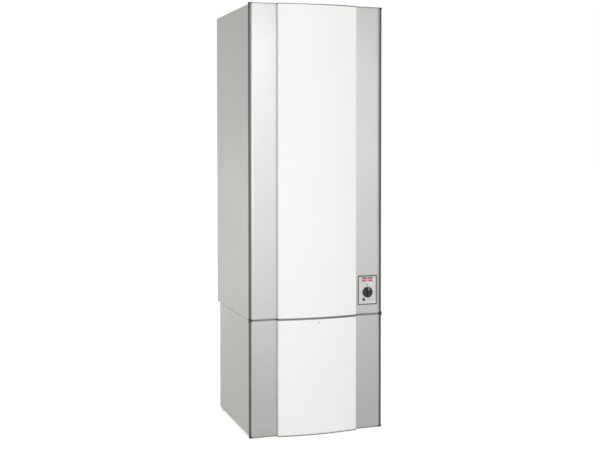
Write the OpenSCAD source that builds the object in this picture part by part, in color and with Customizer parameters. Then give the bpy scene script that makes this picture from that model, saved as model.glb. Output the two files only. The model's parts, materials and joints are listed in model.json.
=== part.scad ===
// Floor-standing cabinet water heater: an insulated upper cabinet with the tank,
// on a support frame whose pipes and valves are hidden by a lift-off lower front.
// X runs to the right, Y away from the front, Z up from the floor.

/* [Cabinet] */
// Width of the front over its edge trims
cabinet_w = 595; // [575:1:640]
// Height of the front's top above the floor, with the feet screwed in
cabinet_h = 1820; // [1650:5:1950]
// Height of the joint between the upper and the lower front
joint_h = 498; // [475:1:560]
// Depth of the upper side panels with the front's edge, behind the front strips
upper_d = 559; // [530:1:600]
// How far the lower side panels stop short of the upper ones at the back
lower_setback = 46; // [20:1:80]
// Gap that the wall bracket and spacers keep between the back and the wall
wall_gap = 28; // [15:1:50]
// How far the side panels' top edge lies below the front's top
side_top_drop = 8; // [6:0.5:12]
// Gap between the floor and the lower side panels
side_floor_gap = 13; // [11:0.5:20]
// Rise of the upper side panels' bottom edge above the front's joint
side_joint_rise = 1; // [0.5:0.1:8]
// Round of the top rear corner in side view
rear_round = 13; // [8:0.5:25]
// Thickness of the cabinet's steel sheet
sheet = 1.2; // [0.8:0.1:1.6]

/* [Front] */
// Width of the bowed white panel
white_w = 350; // [330:1:370]
// Rise of the bow over the white panel's width
bow = 15.5; // [12:0.5:30]
// Step from the strips up to the white panel's edge
step = 15.5; // [8:0.5:20]
// Depth of the fronts from the strips' face back to the side panels' edge
front_set = 9; // [8.5:0.1:12]
// Width of the dark trims up the front's outer edges
trim_w = 7.5; // [6:0.5:12]
// Thickness of the trims across the ends of each front
end_trim_t = 4.5; // [3:0.1:6]
// Height of the black caps where the trims meet
cap_h = 8; // [6:0.1:8.4]
// Radius of the strips' outer edges
strip_r = 8; // [4:0.1:8.2]
// Seam between the upper and the lower front
joint_seam = 1; // [0.5:0.1:1.5]
// Gap between the floor and the lower front
cover_floor_gap = 3; // [2:0.5:8]

/* [Tank] */
// Outer diameter of the tank
tank_d = 480; // [440:1:490]
// Wall of the tank
tank_t = 2.5; // [2:0.1:4]
// Radius of the tank's domed ends
dome_r = 400; // [320:5:600]
// Foam between the tank's top and the top panel
tank_top_gap = 80; // [40:1:140]
// Foam between the tank's bottom and the base plate
tank_bottom_gap = 55; // [45:1:80]
// Reach of the heating elements above their flange
element_h = 450; // [300:5:600]
// Reach of the anode rod above its flange
anode_h = 420; // [250:5:600]

/* [Pipes] */
// Outer radius of the water pipes
pipe_r = 11; // [9:0.5:12.5]
// Wall of the water pipes
pipe_t = 1; // [0.8:0.1:1.5]
// Distance of each pipe from the cabinet's middle
pipe_x = 125; // [118:1:140]
// Height of the cold supply pipe's way out to the wall
cold_out_h = 190; // [170:1:205]
// Height of the hot outlet pipe's way out to the wall
hot_out_h = 300; // [250:1:320]
// Radius of the bends along the middle of the pipes
bend_r = 35; // [25:1:40]

/* [Controls] */
// Width of the control panel's frame
panel_w = 89; // [80:1:92]
// Height of the control panel's frame
panel_h = 128; // [125:1:150]
// Width of the frame's visible border
frame_w = 5.5; // [3:0.5:6]
// Gap between the frame and the edge trim beside it
panel_edge_gap = 14; // [11:0.5:16]
// Height of the panel's middle above the front's joint
panel_rise = 105; // [95:1:200]
// Radius of the thermostat knob
knob_r = 22.5; // [18:0.5:26]
// Height of the thermostat knob
knob_h = 18; // [12:0.5:24]
// Radius of the reset button
button_r = 6; // [4:0.5:7]

/* [Support] */
// Width of each angle that a leg is made of
leg_w = 40; // [36:1:50]
// Thickness of the legs' angles
leg_t = 3; // [2:0.5:4]
// Radius of the levelling feet's discs
foot_r = 16; // [12:0.5:18]
// Radius of the levelling feet's screws
foot_screw_r = 5; // [4:0.5:6]
// How far the feet can be screwed out
foot_travel = 20; // [10:1:25]
// Distance between the wall bracket's fixing holes
bracket_pitch = 300; // [200:10:360]

/* [Hidden] */
$fn = 96;

// Overrun of every cut past the face that it opens
over = 1;
// Clearance beside a piece that lies in a pocket
fit_gap = 0.3;
// Clearance of a shaft or pipe in its bore
run_gap = 0.05;

// Front: small sizes
trim_proud = 0.5;
trim_recess = 2;
trim_r = 3;
cap_proud = 2;
cap_reach = 7;
panel_seam = 0.5;
edge_foot = 12;
cover_gap = 0.5;

// Cabinet: small sizes
side_inset = 0.5;
side_r = 3;
flange_w = 16;
top_lip = 40;
base_rise = 10;
base_t = 2;

// Places along Y
depth = trim_proud + bow + step + upper_d + wall_gap;
front_y = -depth / 2;
strip_y = front_y + trim_proud + bow + step;
seat_y = strip_y + front_set;
core_y = seat_y + sheet;
back_y = strip_y + upper_d;
wall_y = back_y + wall_gap;
lower_back_y = back_y - lower_setback;
carrier_y = seat_y - cover_gap - sheet;
tank_y = (core_y + back_y - sheet) / 2;

// Places along X
half_w = cabinet_w / 2;
trim_x = half_w - trim_w;
cap_x = trim_x - cap_reach;
white_x = white_w / 2;
side_x = half_w - side_inset;
web_x = side_x - sheet;

// Places along Z
upper_z0 = joint_h + joint_seam / 2;
lower_z0 = cover_floor_gap;
lower_z1 = joint_h - joint_seam / 2;
side_z0 = joint_h + side_joint_rise;
side_z1 = cabinet_h - side_top_drop;
lower_side_z1 = side_z0 - joint_seam;
base_z = joint_h + base_rise;
base_top = base_z + base_t;

// Circle that the white panel bows along
bow_r = (white_x * white_x + bow * bow) / (2 * bow);
bow_y = strip_y - step - bow + bow_r;

// Tank and its flange
tank_r = tank_d / 2;
tank_z0 = base_top + tank_bottom_gap;
tank_z1 = side_z1 - sheet - tank_top_gap;
flange_r = 80;
flange_t = 10;
gasket_t = 3;
ring_t = 10;
neck_r = 62;
neck_t = 4;
neck_entry = 20;
gasket_z = base_top + flange_t;
ring_z = gasket_z + gasket_t;
base_hole_gap = 12;
bolt_count = 6;
bolt_r = 5;
bolt_head_r = 8.5;
bolt_head_h = 6.4;
bolt_end = 2;
bolt_hole_gap = 0.5;
bolt_ring_r = (neck_r - neck_t + flange_r) / 2;
element_r = 4.2;
element_inner = 16;
element_outer = 42;
element_count = 3;
terminal_h = 12;
pocket_r = 5;
pocket_t = 0.8;
pocket_at = 30;
pocket_h = 330;
anode_r = 11;
anode_stud_r = 4;
anode_at = 30;
anode_clear = 8;
anode_nut_r = 7;
anode_nut_h = 5;

// Pipes, valves and their sockets
socket = 12;
valve_len = 70;
valve_r = 17;
valve_hex_r = 21;
valve_hex_h = 14;
valve_bore = 8;
ball_r = 12;
stem_r = 4;
boss_r = 8;
boss_out = 26;
lever_gap = 1;
lever_t = 3;
lever_w = 14;
lever_len = 75;
lever_hub_r = 9;
conn_drop = 48;
conn_z = base_z - conn_drop;
spigot_bore = 8;
safety_out = 40;
safety_branch_r = 12;
safety_knob_r = 15;
safety_knob_h = 16;
safety_spindle_r = 3;
safety_spindle_in = 14;
discharge_at = 24;
discharge_out = 38;
discharge_r = 7.5;
discharge_t = 0.9;
discharge_boss_r = 10;
discharge_bend = 22;
discharge_end = 40;
tee_len = 84;
drain_rise = 18;
tee_r = 16;
drain_out = 52;
drain_r = 9;
drain_tail_r = 6;
drain_tail_bore = 4;
drain_tail_at = 42;
drain_tail_len = 28;
drain_collar_r = 8;
drain_collar_h = 2;
drain_spindle_r = 3;
drain_spindle_in = 8;
drain_bar = 30;
drain_bar_w = 7;
drain_bar_t = 5;
inlet_rise = 80;
inlet_hole_r = 4;
outlet_drop = 60;
plate_pipe_gap = 1.5;
upper_valve_z = conn_z - valve_len;
lower_valve_z = upper_valve_z - valve_len;

// Electrical pieces
cover_r = 56;
cover_wall = 2;
cover_h = 47;
cable_r = 4;
cable_in = 8;
cable_bend = 20;
box_w = 100;
box_d = 60;
box_h = 46;
box_wall = 2;
box_gap = 40;
box_y = tank_y - cover_r - box_gap - box_d;
cable_y = box_y + box_d / 2;
cable_z = base_z - box_h / 2;
gland_x = 25;
gland_r = 9;
gland_bore = 4.5;
gland_h = 22;
gland_nut_r = 11;
gland_nut_h = 8;

// Control panel
panel_x = trim_x - panel_edge_gap - panel_w / 2;
panel_z = joint_h + panel_rise;
bezel_proud = 1.5;
cut_margin = 2.5;
frame_neck = 6;
frame_r = 2;
fascia_set = 0.8;
fascia_t = 2;
fascia_y = strip_y - fascia_set;
inner_w = panel_w - 2 * frame_w;
inner_h = panel_h - 2 * frame_w;
cut_w = panel_w - 2 * cut_margin;
cut_h = panel_h - 2 * cut_margin;
housing_d = 90;
housing_wall = 2;
cable_riser_y = strip_y + housing_d / 2 + frame_neck;
knob_drop = 9;
knob_gap = 0.5;
knob_skirt = 6;
knob_ridge_w = 12;
knob_z = panel_z - knob_drop;
spindle_r = 3;
spindle_in = 20;
thermostat_w = 44;
thermostat_d = 30;
button_dx = 17.4;
button_dz = 40.6;
button_out = 3;
button_len = 6;
button_travel = 2;
button_stem_r = 2.5;
button_stem_in = 16;
switch_w = 18;
switch_d = 20;
display_w = 56;
display_h = 20;
display_rise = 46.5;

// Support frame and feet
leg_z = 20;
leg_plate_t = 4;
foot_disc_h = 8;
foot_hex_r = 9.5;
foot_thread_spare = 18;
foot_screw_h = leg_z + leg_plate_t + foot_travel + foot_thread_spare;
foot_in = leg_w / 2;
front_foot_y = core_y + foot_in;
rear_foot_y = lower_back_y - sheet - foot_in;
rail_t = 3;
rail_h = 40;
low_rail_z = 60;
clip_r = 8;
clip_len = 12;
clip_flange_r = 10;
clip_flange_t = 2;
clip_inset = 13;
clip_x = web_x - leg_w + clip_inset;
clip_low_z = 130;
clip_high_drop = 70;
clip_zs = [clip_low_z, joint_h - clip_high_drop];
catch_ball_r = 5;
catch_neck_r = 2.5;
catch_base_r = 7;
screw_drop = 17;
screw_z = joint_h - screw_drop;
screw_r = 2.5;
screw_head_r = 4;
screw_head_h = 3;
screw_hole_gap = 0.4;
screw_slot = 1;
screw_end = 6;
bracket_w = 420;
bracket_h = 50;
bracket_t = 3;
bracket_drop = 160;
bracket_hole_r = 5;
bracket_z = side_z1 - bracket_drop;
spacer_r = 12;
spacer_rise = 60;
spacer_x = 200;

// Height of a dome of radius r_dome over a tank of radius r
function dome_h(r_dome, r) = r_dome - sqrt(r_dome * r_dome - r * r);

module on_side(s) {
    if (s < 0) mirror([1, 0, 0]) children();
    else children();
}

module block(x0, x1, y0, y1, z0, z1) {
    translate([x0, y0, z0]) cube([x1 - x0, y1 - y0, z1 - z0]);
}

module rod_x(r, x0, x1, y, z) {
    translate([x0, y, z]) rotate([0, 90, 0]) cylinder(r = r, h = x1 - x0);
}

module rod_y(r, x, y0, y1, z) {
    translate([x, y0, z]) rotate([-90, 0, 0]) cylinder(r = r, h = y1 - y0);
}

module rod_z(r, x, y, z0, z1) {
    translate([x, y, z0]) cylinder(r = r, h = z1 - z0);
}

module hex_z(r, x, y, z0, z1) {
    translate([x, y, z0]) cylinder(r = r, h = z1 - z0, $fn = 6);
}

// Rounded rectangle in the XZ plane, from y0 to y1
module round_plate(w, h, r, y0, y1) {
    translate([panel_x, y1, panel_z]) rotate([90, 0, 0]) linear_extrude(y1 - y0) {
        square([w - 2 * r, h], center = true);
        square([w, h - 2 * r], center = true);
        for (i = [-1, 1], j = [-1, 1])
            translate([i * (w / 2 - r), j * (h / 2 - r)]) circle(r);
    }
}

// Front: plan shapes shared by the upper and the lower front
module bow_disc(grow) {
    translate([0, bow_y]) circle(bow_r + grow, $fn = 360);
}

module white_plan(back) {
    intersection() {
        difference() {
            bow_disc(0);
            bow_disc(-sheet);
        }
        translate([-white_x, front_y]) square([white_w, strip_y - front_y]);
    }
    for (s = [-1, 1]) on_side(s) {
        translate([white_x - sheet, strip_y - step]) square([sheet, back - strip_y + step]);
        translate([white_x - edge_foot, back - sheet]) square([edge_foot, sheet]);
    }
}

module strip_plan(back_in, back_out) {
    inner_x = white_x + panel_seam;
    r = min(strip_r, back_out - strip_y - fit_gap);
    translate([inner_x, strip_y]) square([trim_x - r - inner_x, sheet]);
    translate([trim_x - r, strip_y + r]) intersection() {
        difference() {
            circle(r);
            circle(r - sheet);
        }
        translate([0, -r]) square(r);
    }
    translate([trim_x - sheet, strip_y + r]) square([sheet, back_out - strip_y - r]);
    translate([inner_x, strip_y]) square([sheet, back_in - strip_y]);
    translate([inner_x, back_in - sheet]) square([edge_foot, sheet]);
}

module edge_plan(x0, x1, y0, y1) {
    translate([x0, y0]) square([x1 - x0 - trim_r, y1 - y0]);
    translate([x0, y0 + trim_r]) square([x1 - x0, y1 - y0 - trim_r]);
    translate([x1 - trim_r, y0 + trim_r]) intersection() {
        circle(trim_r);
        translate([0, -trim_r]) square(trim_r);
    }
}

module end_plan(back) {
    intersection() {
        bow_disc(trim_proud);
        translate([-white_x - trim_proud, front_y])
            square([white_w + 2 * trim_proud, strip_y - front_y]);
    }
    translate([-cap_x, strip_y - trim_proud]) square([2 * cap_x, back - strip_y + trim_proud]);
}

module white_panel(z0, z1, back) {
    translate([0, 0, z0 + end_trim_t]) linear_extrude(z1 - z0 - 2 * end_trim_t) white_plan(back);
}

module strip(s, z0, z1, back_in, back_out) {
    on_side(s) translate([0, 0, z0 + end_trim_t])
        linear_extrude(z1 - z0 - 2 * end_trim_t) strip_plan(back_in, back_out);
}

module trims(z0, z1, edge_back, end_back) {
    for (s = [-1, 1]) on_side(s) translate([0, 0, z0 + cap_h])
        linear_extrude(z1 - z0 - 2 * cap_h)
            edge_plan(trim_x, half_w, strip_y + trim_recess, edge_back);
    for (z = [z0, z1 - end_trim_t]) translate([0, 0, z]) linear_extrude(end_trim_t)
        end_plan(end_back);
}

// One black cap; its wing lies over the strip's end
module corner_cap(s, z0, z1, proud, back, wing_z) {
    on_side(s) {
        translate([0, 0, z0]) linear_extrude(z1 - z0)
            edge_plan(trim_x, half_w + proud, strip_y - trim_proud, back);
        block(cap_x, trim_x, strip_y - trim_proud, back, wing_z, wing_z + end_trim_t);
    }
}

module corner_caps(z0, z1, proud_low, proud_high, back) {
    for (s = [-1, 1]) {
        corner_cap(s, z0, z0 + cap_h, proud_low, back, z0);
        corner_cap(s, z1 - cap_h, z1, proud_high, back, z1 - end_trim_t);
    }
}

// Side panels: a channel with rounded vertical edges, seen from above
module side_plan(y1) {
    difference() {
        union() {
            translate([side_x - flange_w, seat_y]) square([flange_w - side_r, y1 - seat_y]);
            translate([side_x - flange_w, seat_y + side_r])
                square([flange_w, y1 - seat_y - 2 * side_r]);
            for (y = [seat_y + side_r, y1 - side_r])
                translate([side_x - side_r, y]) circle(side_r);
        }
        translate([side_x - flange_w - over, seat_y + sheet])
            square([flange_w + over - sheet, y1 - seat_y - 2 * sheet]);
    }
}

module upper_side(s) {
    on_side(s) difference() {
        translate([0, 0, side_z0]) linear_extrude(side_z1 - side_z0) side_plan(back_y);
        // Room for the top panel's rear lip
        block(side_x - flange_w - over, web_x, back_y - 2 * sheet, back_y + over,
            side_z1 - top_lip, side_z1 + over);
        // Rounded top rear corner
        difference() {
            block(web_x - over, side_x + over, back_y - rear_round, back_y + over,
                side_z1 - rear_round, side_z1 + over);
            rod_x(rear_round, web_x - 2 * over, side_x + 2 * over, back_y - rear_round,
                side_z1 - rear_round);
        }
    }
}

module lower_side(s) {
    on_side(s) translate([0, 0, side_floor_gap])
        linear_extrude(lower_side_z1 - side_floor_gap) side_plan(lower_back_y);
}

// Tank: half outline, turned about its axis
module tank_outline(r, r_dome, z0, z1) {
    intersection() {
        translate([0, z0 - over]) square([r, z1 - z0 + 2 * over]);
        union() {
            for (z = [z0 + r_dome, z1 - r_dome]) translate([0, z]) circle(r_dome, $fn = 360);
            if (z1 - z0 > 2 * r_dome)
                translate([0, z0 + r_dome]) square([r + over, z1 - z0 - 2 * r_dome]);
        }
    }
}

module tank_solid(grow) {
    translate([0, tank_y, 0]) rotate_extrude($fn = 180)
        tank_outline(tank_r + grow, dome_r + grow, tank_z0 - grow, tank_z1 + grow);
}

module at_bolts() {
    for (i = [0 : bolt_count - 1])
        translate([0, tank_y, 0]) rotate(i * 360 / bolt_count) translate([bolt_ring_r, 0, 0])
            children();
}

// Pipe down from z_top, round a bend, then back to y_end
module wall_pipe(x, z_top, z_out, y_end, r, t) {
    difference() {
        union() {
            rod_z(r, x, tank_y, z_out + bend_r, z_top);
            rod_y(r, x, tank_y + bend_r, y_end, z_out);
            pipe_bend(x, z_out, r);
        }
        rod_z(r - t, x, tank_y, z_out + bend_r, z_top + over);
        rod_y(r - t, x, tank_y + bend_r, y_end + over, z_out);
        pipe_bend(x, z_out, r - t);
    }
}

module pipe_bend(x, z_out, r) {
    translate([x, tank_y + bend_r, z_out + bend_r]) rotate([90, 0, -90])
        rotate([0, 0, 180]) mirror([1, 0, 0]) rotate_extrude(angle = 90)
            translate([bend_r, 0]) circle(r);
}

// Ball valve body on a vertical pipe, its stem towards the front
module valve_body(x, z0) {
    z1 = z0 + valve_len;
    zc = z0 + valve_len / 2;
    difference() {
        union() {
            rod_z(valve_r, x, tank_y, z0, z1);
            hex_z(valve_hex_r, x, tank_y, z0, z0 + valve_hex_h);
            hex_z(valve_hex_r, x, tank_y, z1 - valve_hex_h, z1);
            rod_y(boss_r, x, tank_y - boss_out, tank_y, zc);
        }
        rod_z(valve_bore, x, tank_y, z0 - over, z1 + over);
        rod_z(pipe_r + run_gap, x, tank_y, z0 - over, z0 + socket);
        rod_z(pipe_r + run_gap, x, tank_y, z1 - socket, z1 + over);
        translate([x, tank_y, zc]) sphere(ball_r + fit_gap);
        rod_y(stem_r + run_gap, x, tank_y - boss_out - over, tank_y, zc);
    }
}

// Lever, stem and bored ball of a valve, with the lever hanging down
module valve_lever(x, z0) {
    zc = z0 + valve_len / 2;
    lever_y = tank_y - boss_out - lever_gap - lever_t;
    difference() {
        union() {
            translate([x, tank_y, zc]) sphere(ball_r);
            rod_y(stem_r, x, lever_y - lever_t, tank_y, zc);
        }
        rod_z(valve_bore, x, tank_y, zc - ball_r - over, zc + ball_r + over);
    }
    difference() {
        union() {
            rod_y(lever_hub_r, x, lever_y, lever_y + lever_t, zc);
            block(x - lever_w / 2, x + lever_w / 2, lever_y, lever_y + lever_t, zc - lever_len, zc);
            rod_y(lever_w / 2, x, lever_y, lever_y + lever_t, zc - lever_len);
        }
        rod_y(stem_r + run_gap, x, lever_y - over, lever_y + lever_t + over, zc);
    }
}

module foot(sx, y) {
    translate([sx * (web_x - foot_in), y, 0]) {
        cylinder(r = foot_r, h = foot_disc_h);
        cylinder(r = foot_hex_r, h = leg_z - fit_gap, $fn = 6);
        cylinder(r = foot_screw_r, h = foot_screw_h);
    }
}

// Sub-parts
module upper_white_panel() {
    color("white") white_panel(upper_z0, cabinet_h, core_y);
}

module upper_left_strip() {
    color("silver") strip(-1, upper_z0, cabinet_h, core_y, seat_y);
}

module upper_right_strip() {
    color("silver") difference() {
        strip(1, upper_z0, cabinet_h, core_y, seat_y);
        block(panel_x - cut_w / 2, panel_x + cut_w / 2, strip_y - over, strip_y + sheet + over,
            panel_z - cut_h / 2, panel_z + cut_h / 2);
    }
}

module upper_trims() {
    color("dimgray") trims(upper_z0, cabinet_h, seat_y, seat_y);
}

module upper_corner_caps() {
    color("black") corner_caps(upper_z0, cabinet_h, cap_proud, 0, seat_y);
}

module inner_front_panel() {
    color("silver") difference() {
        block(-web_x, web_x, core_y, core_y + sheet, base_top, cabinet_h - end_trim_t);
        block(panel_x - cut_w / 2, panel_x + cut_w / 2, core_y - over, core_y + sheet + over,
            panel_z - cut_h / 2, panel_z + cut_h / 2);
    }
}

module upper_left_side_panel() {
    color("silver") upper_side(-1);
}

module upper_right_side_panel() {
    color("silver") upper_side(1);
}

module top_panel() {
    color("silver") translate([-web_x, 0, 0]) rotate([90, 0, 90]) linear_extrude(2 * web_x) {
        translate([core_y + sheet, side_z1 - sheet])
            square([back_y - rear_round - core_y - sheet, sheet]);
        translate([back_y - rear_round, side_z1 - rear_round]) intersection() {
            difference() {
                circle(rear_round);
                circle(rear_round - sheet);
            }
            square(rear_round);
        }
        translate([back_y - sheet, side_z1 - top_lip]) square([sheet, top_lip - rear_round]);
    }
}

module back_panel() {
    color("silver") block(-web_x, web_x, back_y - 2 * sheet, back_y - sheet, base_top,
        side_z1 - rear_round);
}

module base_plate() {
    color("silver") difference() {
        block(-web_x, web_x, core_y, back_y - sheet, base_z, base_top);
        rod_z(flange_r + base_hole_gap, 0, tank_y, base_z - over, base_top + over);
        for (s = [-1, 1])
            rod_z(pipe_r + plate_pipe_gap, s * pipe_x, tank_y, base_z - over, base_top + over);
        rod_z(cable_r + plate_pipe_gap, panel_x, cable_riser_y, base_z - over, base_top + over);
    }
}

module insulation_foam() {
    color("khaki") difference() {
        block(-web_x, web_x, core_y + sheet, back_y - 2 * sheet, base_top, side_z1 - sheet);
        block(-web_x - over, web_x + over, back_y - rear_round, back_y,
            side_z1 - rear_round, side_z1);
        tank_solid(fit_gap);
        rod_z(flange_r + base_hole_gap, 0, tank_y, base_top - over,
            tank_z0 + dome_h(dome_r, flange_r + base_hole_gap));
        for (s = [-1, 1])
            rod_z(pipe_r + fit_gap, s * pipe_x, tank_y, base_top - over, tank_z0 + neck_entry * 2);
        block(panel_x - cut_w / 2, panel_x + cut_w / 2, core_y, strip_y + housing_d + fit_gap,
            panel_z - cut_h / 2, panel_z + cut_h / 2);
        rod_z(cable_r + plate_pipe_gap, panel_x, cable_riser_y, base_top - over, panel_z);
    }
}

module tank_shell() {
    color("steelblue") difference() {
        union() {
            tank_solid(0);
            rod_z(neck_r, 0, tank_y, ring_z, tank_z0 + neck_entry);
            rod_z(flange_r, 0, tank_y, ring_z, ring_z + ring_t);
        }
        tank_solid(-tank_t);
        rod_z(neck_r - neck_t, 0, tank_y, ring_z - over, tank_z0 + neck_entry + over);
        at_bolts() rod_z(bolt_r + run_gap, 0, 0, ring_z - over, ring_z + ring_t + over);
        for (s = [-1, 1])
            rod_z(pipe_r + run_gap, s * pipe_x, tank_y, tank_z0 - over, tank_z0 + neck_entry * 2);
    }
}

// Thermostat pocket, welded in, is part of the flange
module element_flange() {
    color("silver") difference() {
        union() {
            rod_z(flange_r, 0, tank_y, base_top, base_top + flange_t);
            at_flange(pocket_at, 60) rod_z(pocket_r, 0, 0, base_top, base_top + pocket_h);
        }
        at_flange(pocket_at, 60)
            rod_z(pocket_r - pocket_t, 0, 0, base_top - over, base_top + pocket_h - pocket_r);
        at_bolts() rod_z(bolt_r + bolt_hole_gap, 0, 0, base_top - over, base_top + flange_t + over);
        for (i = [0 : element_count - 1], a = [element_inner, element_outer])
            at_flange(a, i * 360 / element_count)
                rod_z(element_r + run_gap, 0, 0, base_top - over, base_top + flange_t + over);
        at_flange(anode_at, 180)
            rod_z(anode_stud_r + run_gap, 0, 0, base_top - over, base_top + flange_t + over);
    }
}

// A place on the flange, at a radius and an angle
module at_flange(radius, angle) {
    translate([0, tank_y, 0]) rotate(angle) translate([radius, 0, 0]) children();
}

module flange_gasket() {
    color("black") difference() {
        rod_z(flange_r, 0, tank_y, gasket_z, ring_z);
        rod_z(neck_r - neck_t, 0, tank_y, gasket_z - over, ring_z + over);
        at_bolts() rod_z(bolt_r + bolt_hole_gap, 0, 0, gasket_z - over, ring_z + over);
    }
}

module flange_bolts() {
    color("gray") at_bolts() {
        hex_z(bolt_head_r, 0, 0, base_top - bolt_head_h, base_top);
        rod_z(bolt_r, 0, 0, base_top - bolt_head_h / 2, ring_z + ring_t + bolt_end);
    }
}

module heating_elements() {
    loop_r = (element_outer - element_inner) / 2;
    color("gray") for (i = [0 : element_count - 1]) at_flange(0, i * 360 / element_count) {
        for (a = [element_inner, element_outer])
            rod_z(element_r, a, 0, base_top - terminal_h, base_top + element_h);
        translate([element_inner + loop_r, 0, base_top + element_h]) rotate([90, 0, 0])
            rotate_extrude(angle = 180) translate([loop_r, 0]) circle(element_r);
    }
}

module anode_rod() {
    color("lightgray") at_flange(anode_at, 180) {
        rod_z(anode_r, 0, 0, base_top + flange_t + anode_clear, base_top + anode_h);
        rod_z(anode_stud_r, 0, 0, base_top - terminal_h, base_top + flange_t + 2 * anode_clear);
        hex_z(anode_nut_r, 0, 0, base_top - anode_nut_h, base_top);
    }
}

module cold_inlet_tube() {
    top = tank_z0 + inlet_rise;
    color("orange") difference() {
        rod_z(pipe_r, -pipe_x, tank_y, conn_z - socket, top);
        rod_z(pipe_r - pipe_t, -pipe_x, tank_y, conn_z - socket - over, top - pipe_t);
        rod_x(inlet_hole_r, -pipe_x - pipe_r - over, -pipe_x + pipe_r + over, tank_y,
            top - pipe_r);
        rod_y(inlet_hole_r, -pipe_x, tank_y - pipe_r - over, tank_y + pipe_r + over,
            top - pipe_r);
    }
}

module hot_standpipe() {
    top = tank_z1 - outlet_drop;
    color("orange") difference() {
        rod_z(pipe_r, pipe_x, tank_y, conn_z - socket, top);
        rod_z(pipe_r - pipe_t, pipe_x, tank_y, conn_z - socket - over, top + over);
    }
}

module terminal_cover() {
    z0 = base_top - cover_h;
    color("black") difference() {
        rod_z(cover_r, 0, tank_y, z0, base_top);
        rod_z(cover_r - cover_wall, 0, tank_y, z0 + cover_wall, base_top + over);
        rod_y(cable_r + run_gap, 0, tank_y - cover_r - over, tank_y - cover_r / 2, cable_z);
    }
}

// One lead to the elements' terminals, one up to the controls
module control_cables() {
    color("dimgray") {
        rod_y(cable_r, 0, box_y + box_d - cable_in, tank_y - cover_r + cable_in, cable_z);
        rod_x(cable_r, box_w / 2 - cable_in, panel_x - cable_bend, cable_y, cable_z);
        translate([panel_x - cable_bend, cable_y - cable_bend, cable_z]) cable_turn();
        rod_y(cable_r, panel_x, cable_riser_y + cable_bend, cable_y - cable_bend, cable_z);
        translate([panel_x, cable_riser_y + cable_bend, cable_z + cable_bend])
            rotate([0, 90, 0]) rotate(-90) cable_turn();
        rod_z(cable_r, panel_x, cable_riser_y, cable_z + cable_bend,
            panel_z - cut_h / 2 + cable_in);
    }
}

module cable_turn() {
    rotate_extrude(angle = 90) translate([cable_bend, 0]) circle(cable_r);
}

module junction_box() {
    color("darkgray") difference() {
        block(-box_w / 2, box_w / 2, box_y, box_y + box_d, base_z - box_h, base_z);
        block(-box_w / 2 + box_wall, box_w / 2 - box_wall, box_y + box_wall,
            box_y + box_d - box_wall, base_z - box_h + box_wall, base_z - box_wall);
        rod_y(cable_r + run_gap, 0, box_y + box_d / 2, box_y + box_d + over, cable_z);
        rod_x(cable_r + run_gap, 0, box_w / 2 + over, cable_y, cable_z);
        rod_z(gland_r + run_gap, gland_x, cable_y, base_z - box_h - over,
            base_z - box_h + 2 * box_wall);
    }
}

module cable_gland() {
    z1 = base_z - box_h + 2 * box_wall;
    color("black") difference() {
        union() {
            rod_z(gland_r, gland_x, cable_y, z1 - gland_h, z1);
            hex_z(gland_nut_r, gland_x, cable_y, base_z - box_h - gland_nut_h, base_z - box_h);
        }
        rod_z(gland_bore, gland_x, cable_y, z1 - gland_h - over, z1 + over);
    }
}

module control_frame() {
    color("dimgray") difference() {
        union() {
            round_plate(panel_w, panel_h, frame_r, strip_y - bezel_proud, strip_y);
            round_plate(cut_w - 2 * fit_gap, cut_h - 2 * fit_gap, frame_r, strip_y - bezel_proud / 2,
                strip_y + frame_neck);
        }
        round_plate(inner_w, inner_h, frame_r / 2, strip_y - bezel_proud - over,
            strip_y + frame_neck + over);
    }
}

module control_fascia() {
    color("lightgray") difference() {
        round_plate(inner_w - fit_gap, inner_h - fit_gap, frame_r / 2, fascia_y,
            fascia_y + fascia_t);
        rod_y(spindle_r + fit_gap, panel_x, fascia_y - over, fascia_y + fascia_t + over, knob_z);
        rod_y(button_r + fit_gap / 2, panel_x - button_dx, fascia_y - over,
            fascia_y + fascia_t + over, panel_z - button_dz);
        display_block(0, fascia_y - over, fascia_y + fascia_t + over);
    }
}

module display_block(shrink, y0, y1) {
    block(panel_x - display_w / 2 + shrink, panel_x + display_w / 2 - shrink, y0, y1,
        panel_z + display_rise - display_h / 2 + shrink,
        panel_z + display_rise + display_h / 2 - shrink);
}

module display_window() {
    color("darkred") display_block(fit_gap / 2, fascia_y, fascia_y + fascia_t);
}

module thermostat_body() {
    y0 = fascia_y + fascia_t;
    color("gray") difference() {
        block(panel_x - thermostat_w / 2, panel_x + thermostat_w / 2, y0, y0 + thermostat_d,
            knob_z - thermostat_w / 2, knob_z + thermostat_w / 2);
        rod_y(spindle_r + run_gap, panel_x, y0 - over, y0 + spindle_in + fit_gap, knob_z);
    }
}

module reset_switch() {
    y0 = fascia_y + fascia_t;
    x = panel_x - button_dx;
    z = panel_z - button_dz;
    head_y = fascia_y - button_out + button_len + button_travel + fit_gap;
    color("gray") difference() {
        block(x - switch_w / 2, x + switch_w / 2, y0, y0 + switch_d, z - switch_w / 2,
            knob_z - thermostat_w / 2);
        rod_y(button_r + fit_gap, x, y0 - over, head_y, z);
        rod_y(button_stem_r + run_gap, x, y0, y0 + switch_d - housing_wall, z);
    }
}

// Open to the front; its rim meets the frame's neck
module control_housing() {
    y0 = strip_y + frame_neck;
    w = cut_w - 2 * fit_gap;
    h = cut_h - 2 * fit_gap;
    color("darkgray") difference() {
        round_plate(w, h, frame_r, y0, strip_y + housing_d);
        round_plate(w - 2 * housing_wall, h - 2 * housing_wall, frame_r / 2, y0 - over,
            strip_y + housing_d - housing_wall);
        rod_z(cable_r + run_gap, panel_x, cable_riser_y, panel_z - h / 2 - over, panel_z);
    }
}

module lower_left_side_panel() {
    color("silver") lower_side(-1);
}

module lower_right_side_panel() {
    color("silver") lower_side(1);
}

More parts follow.
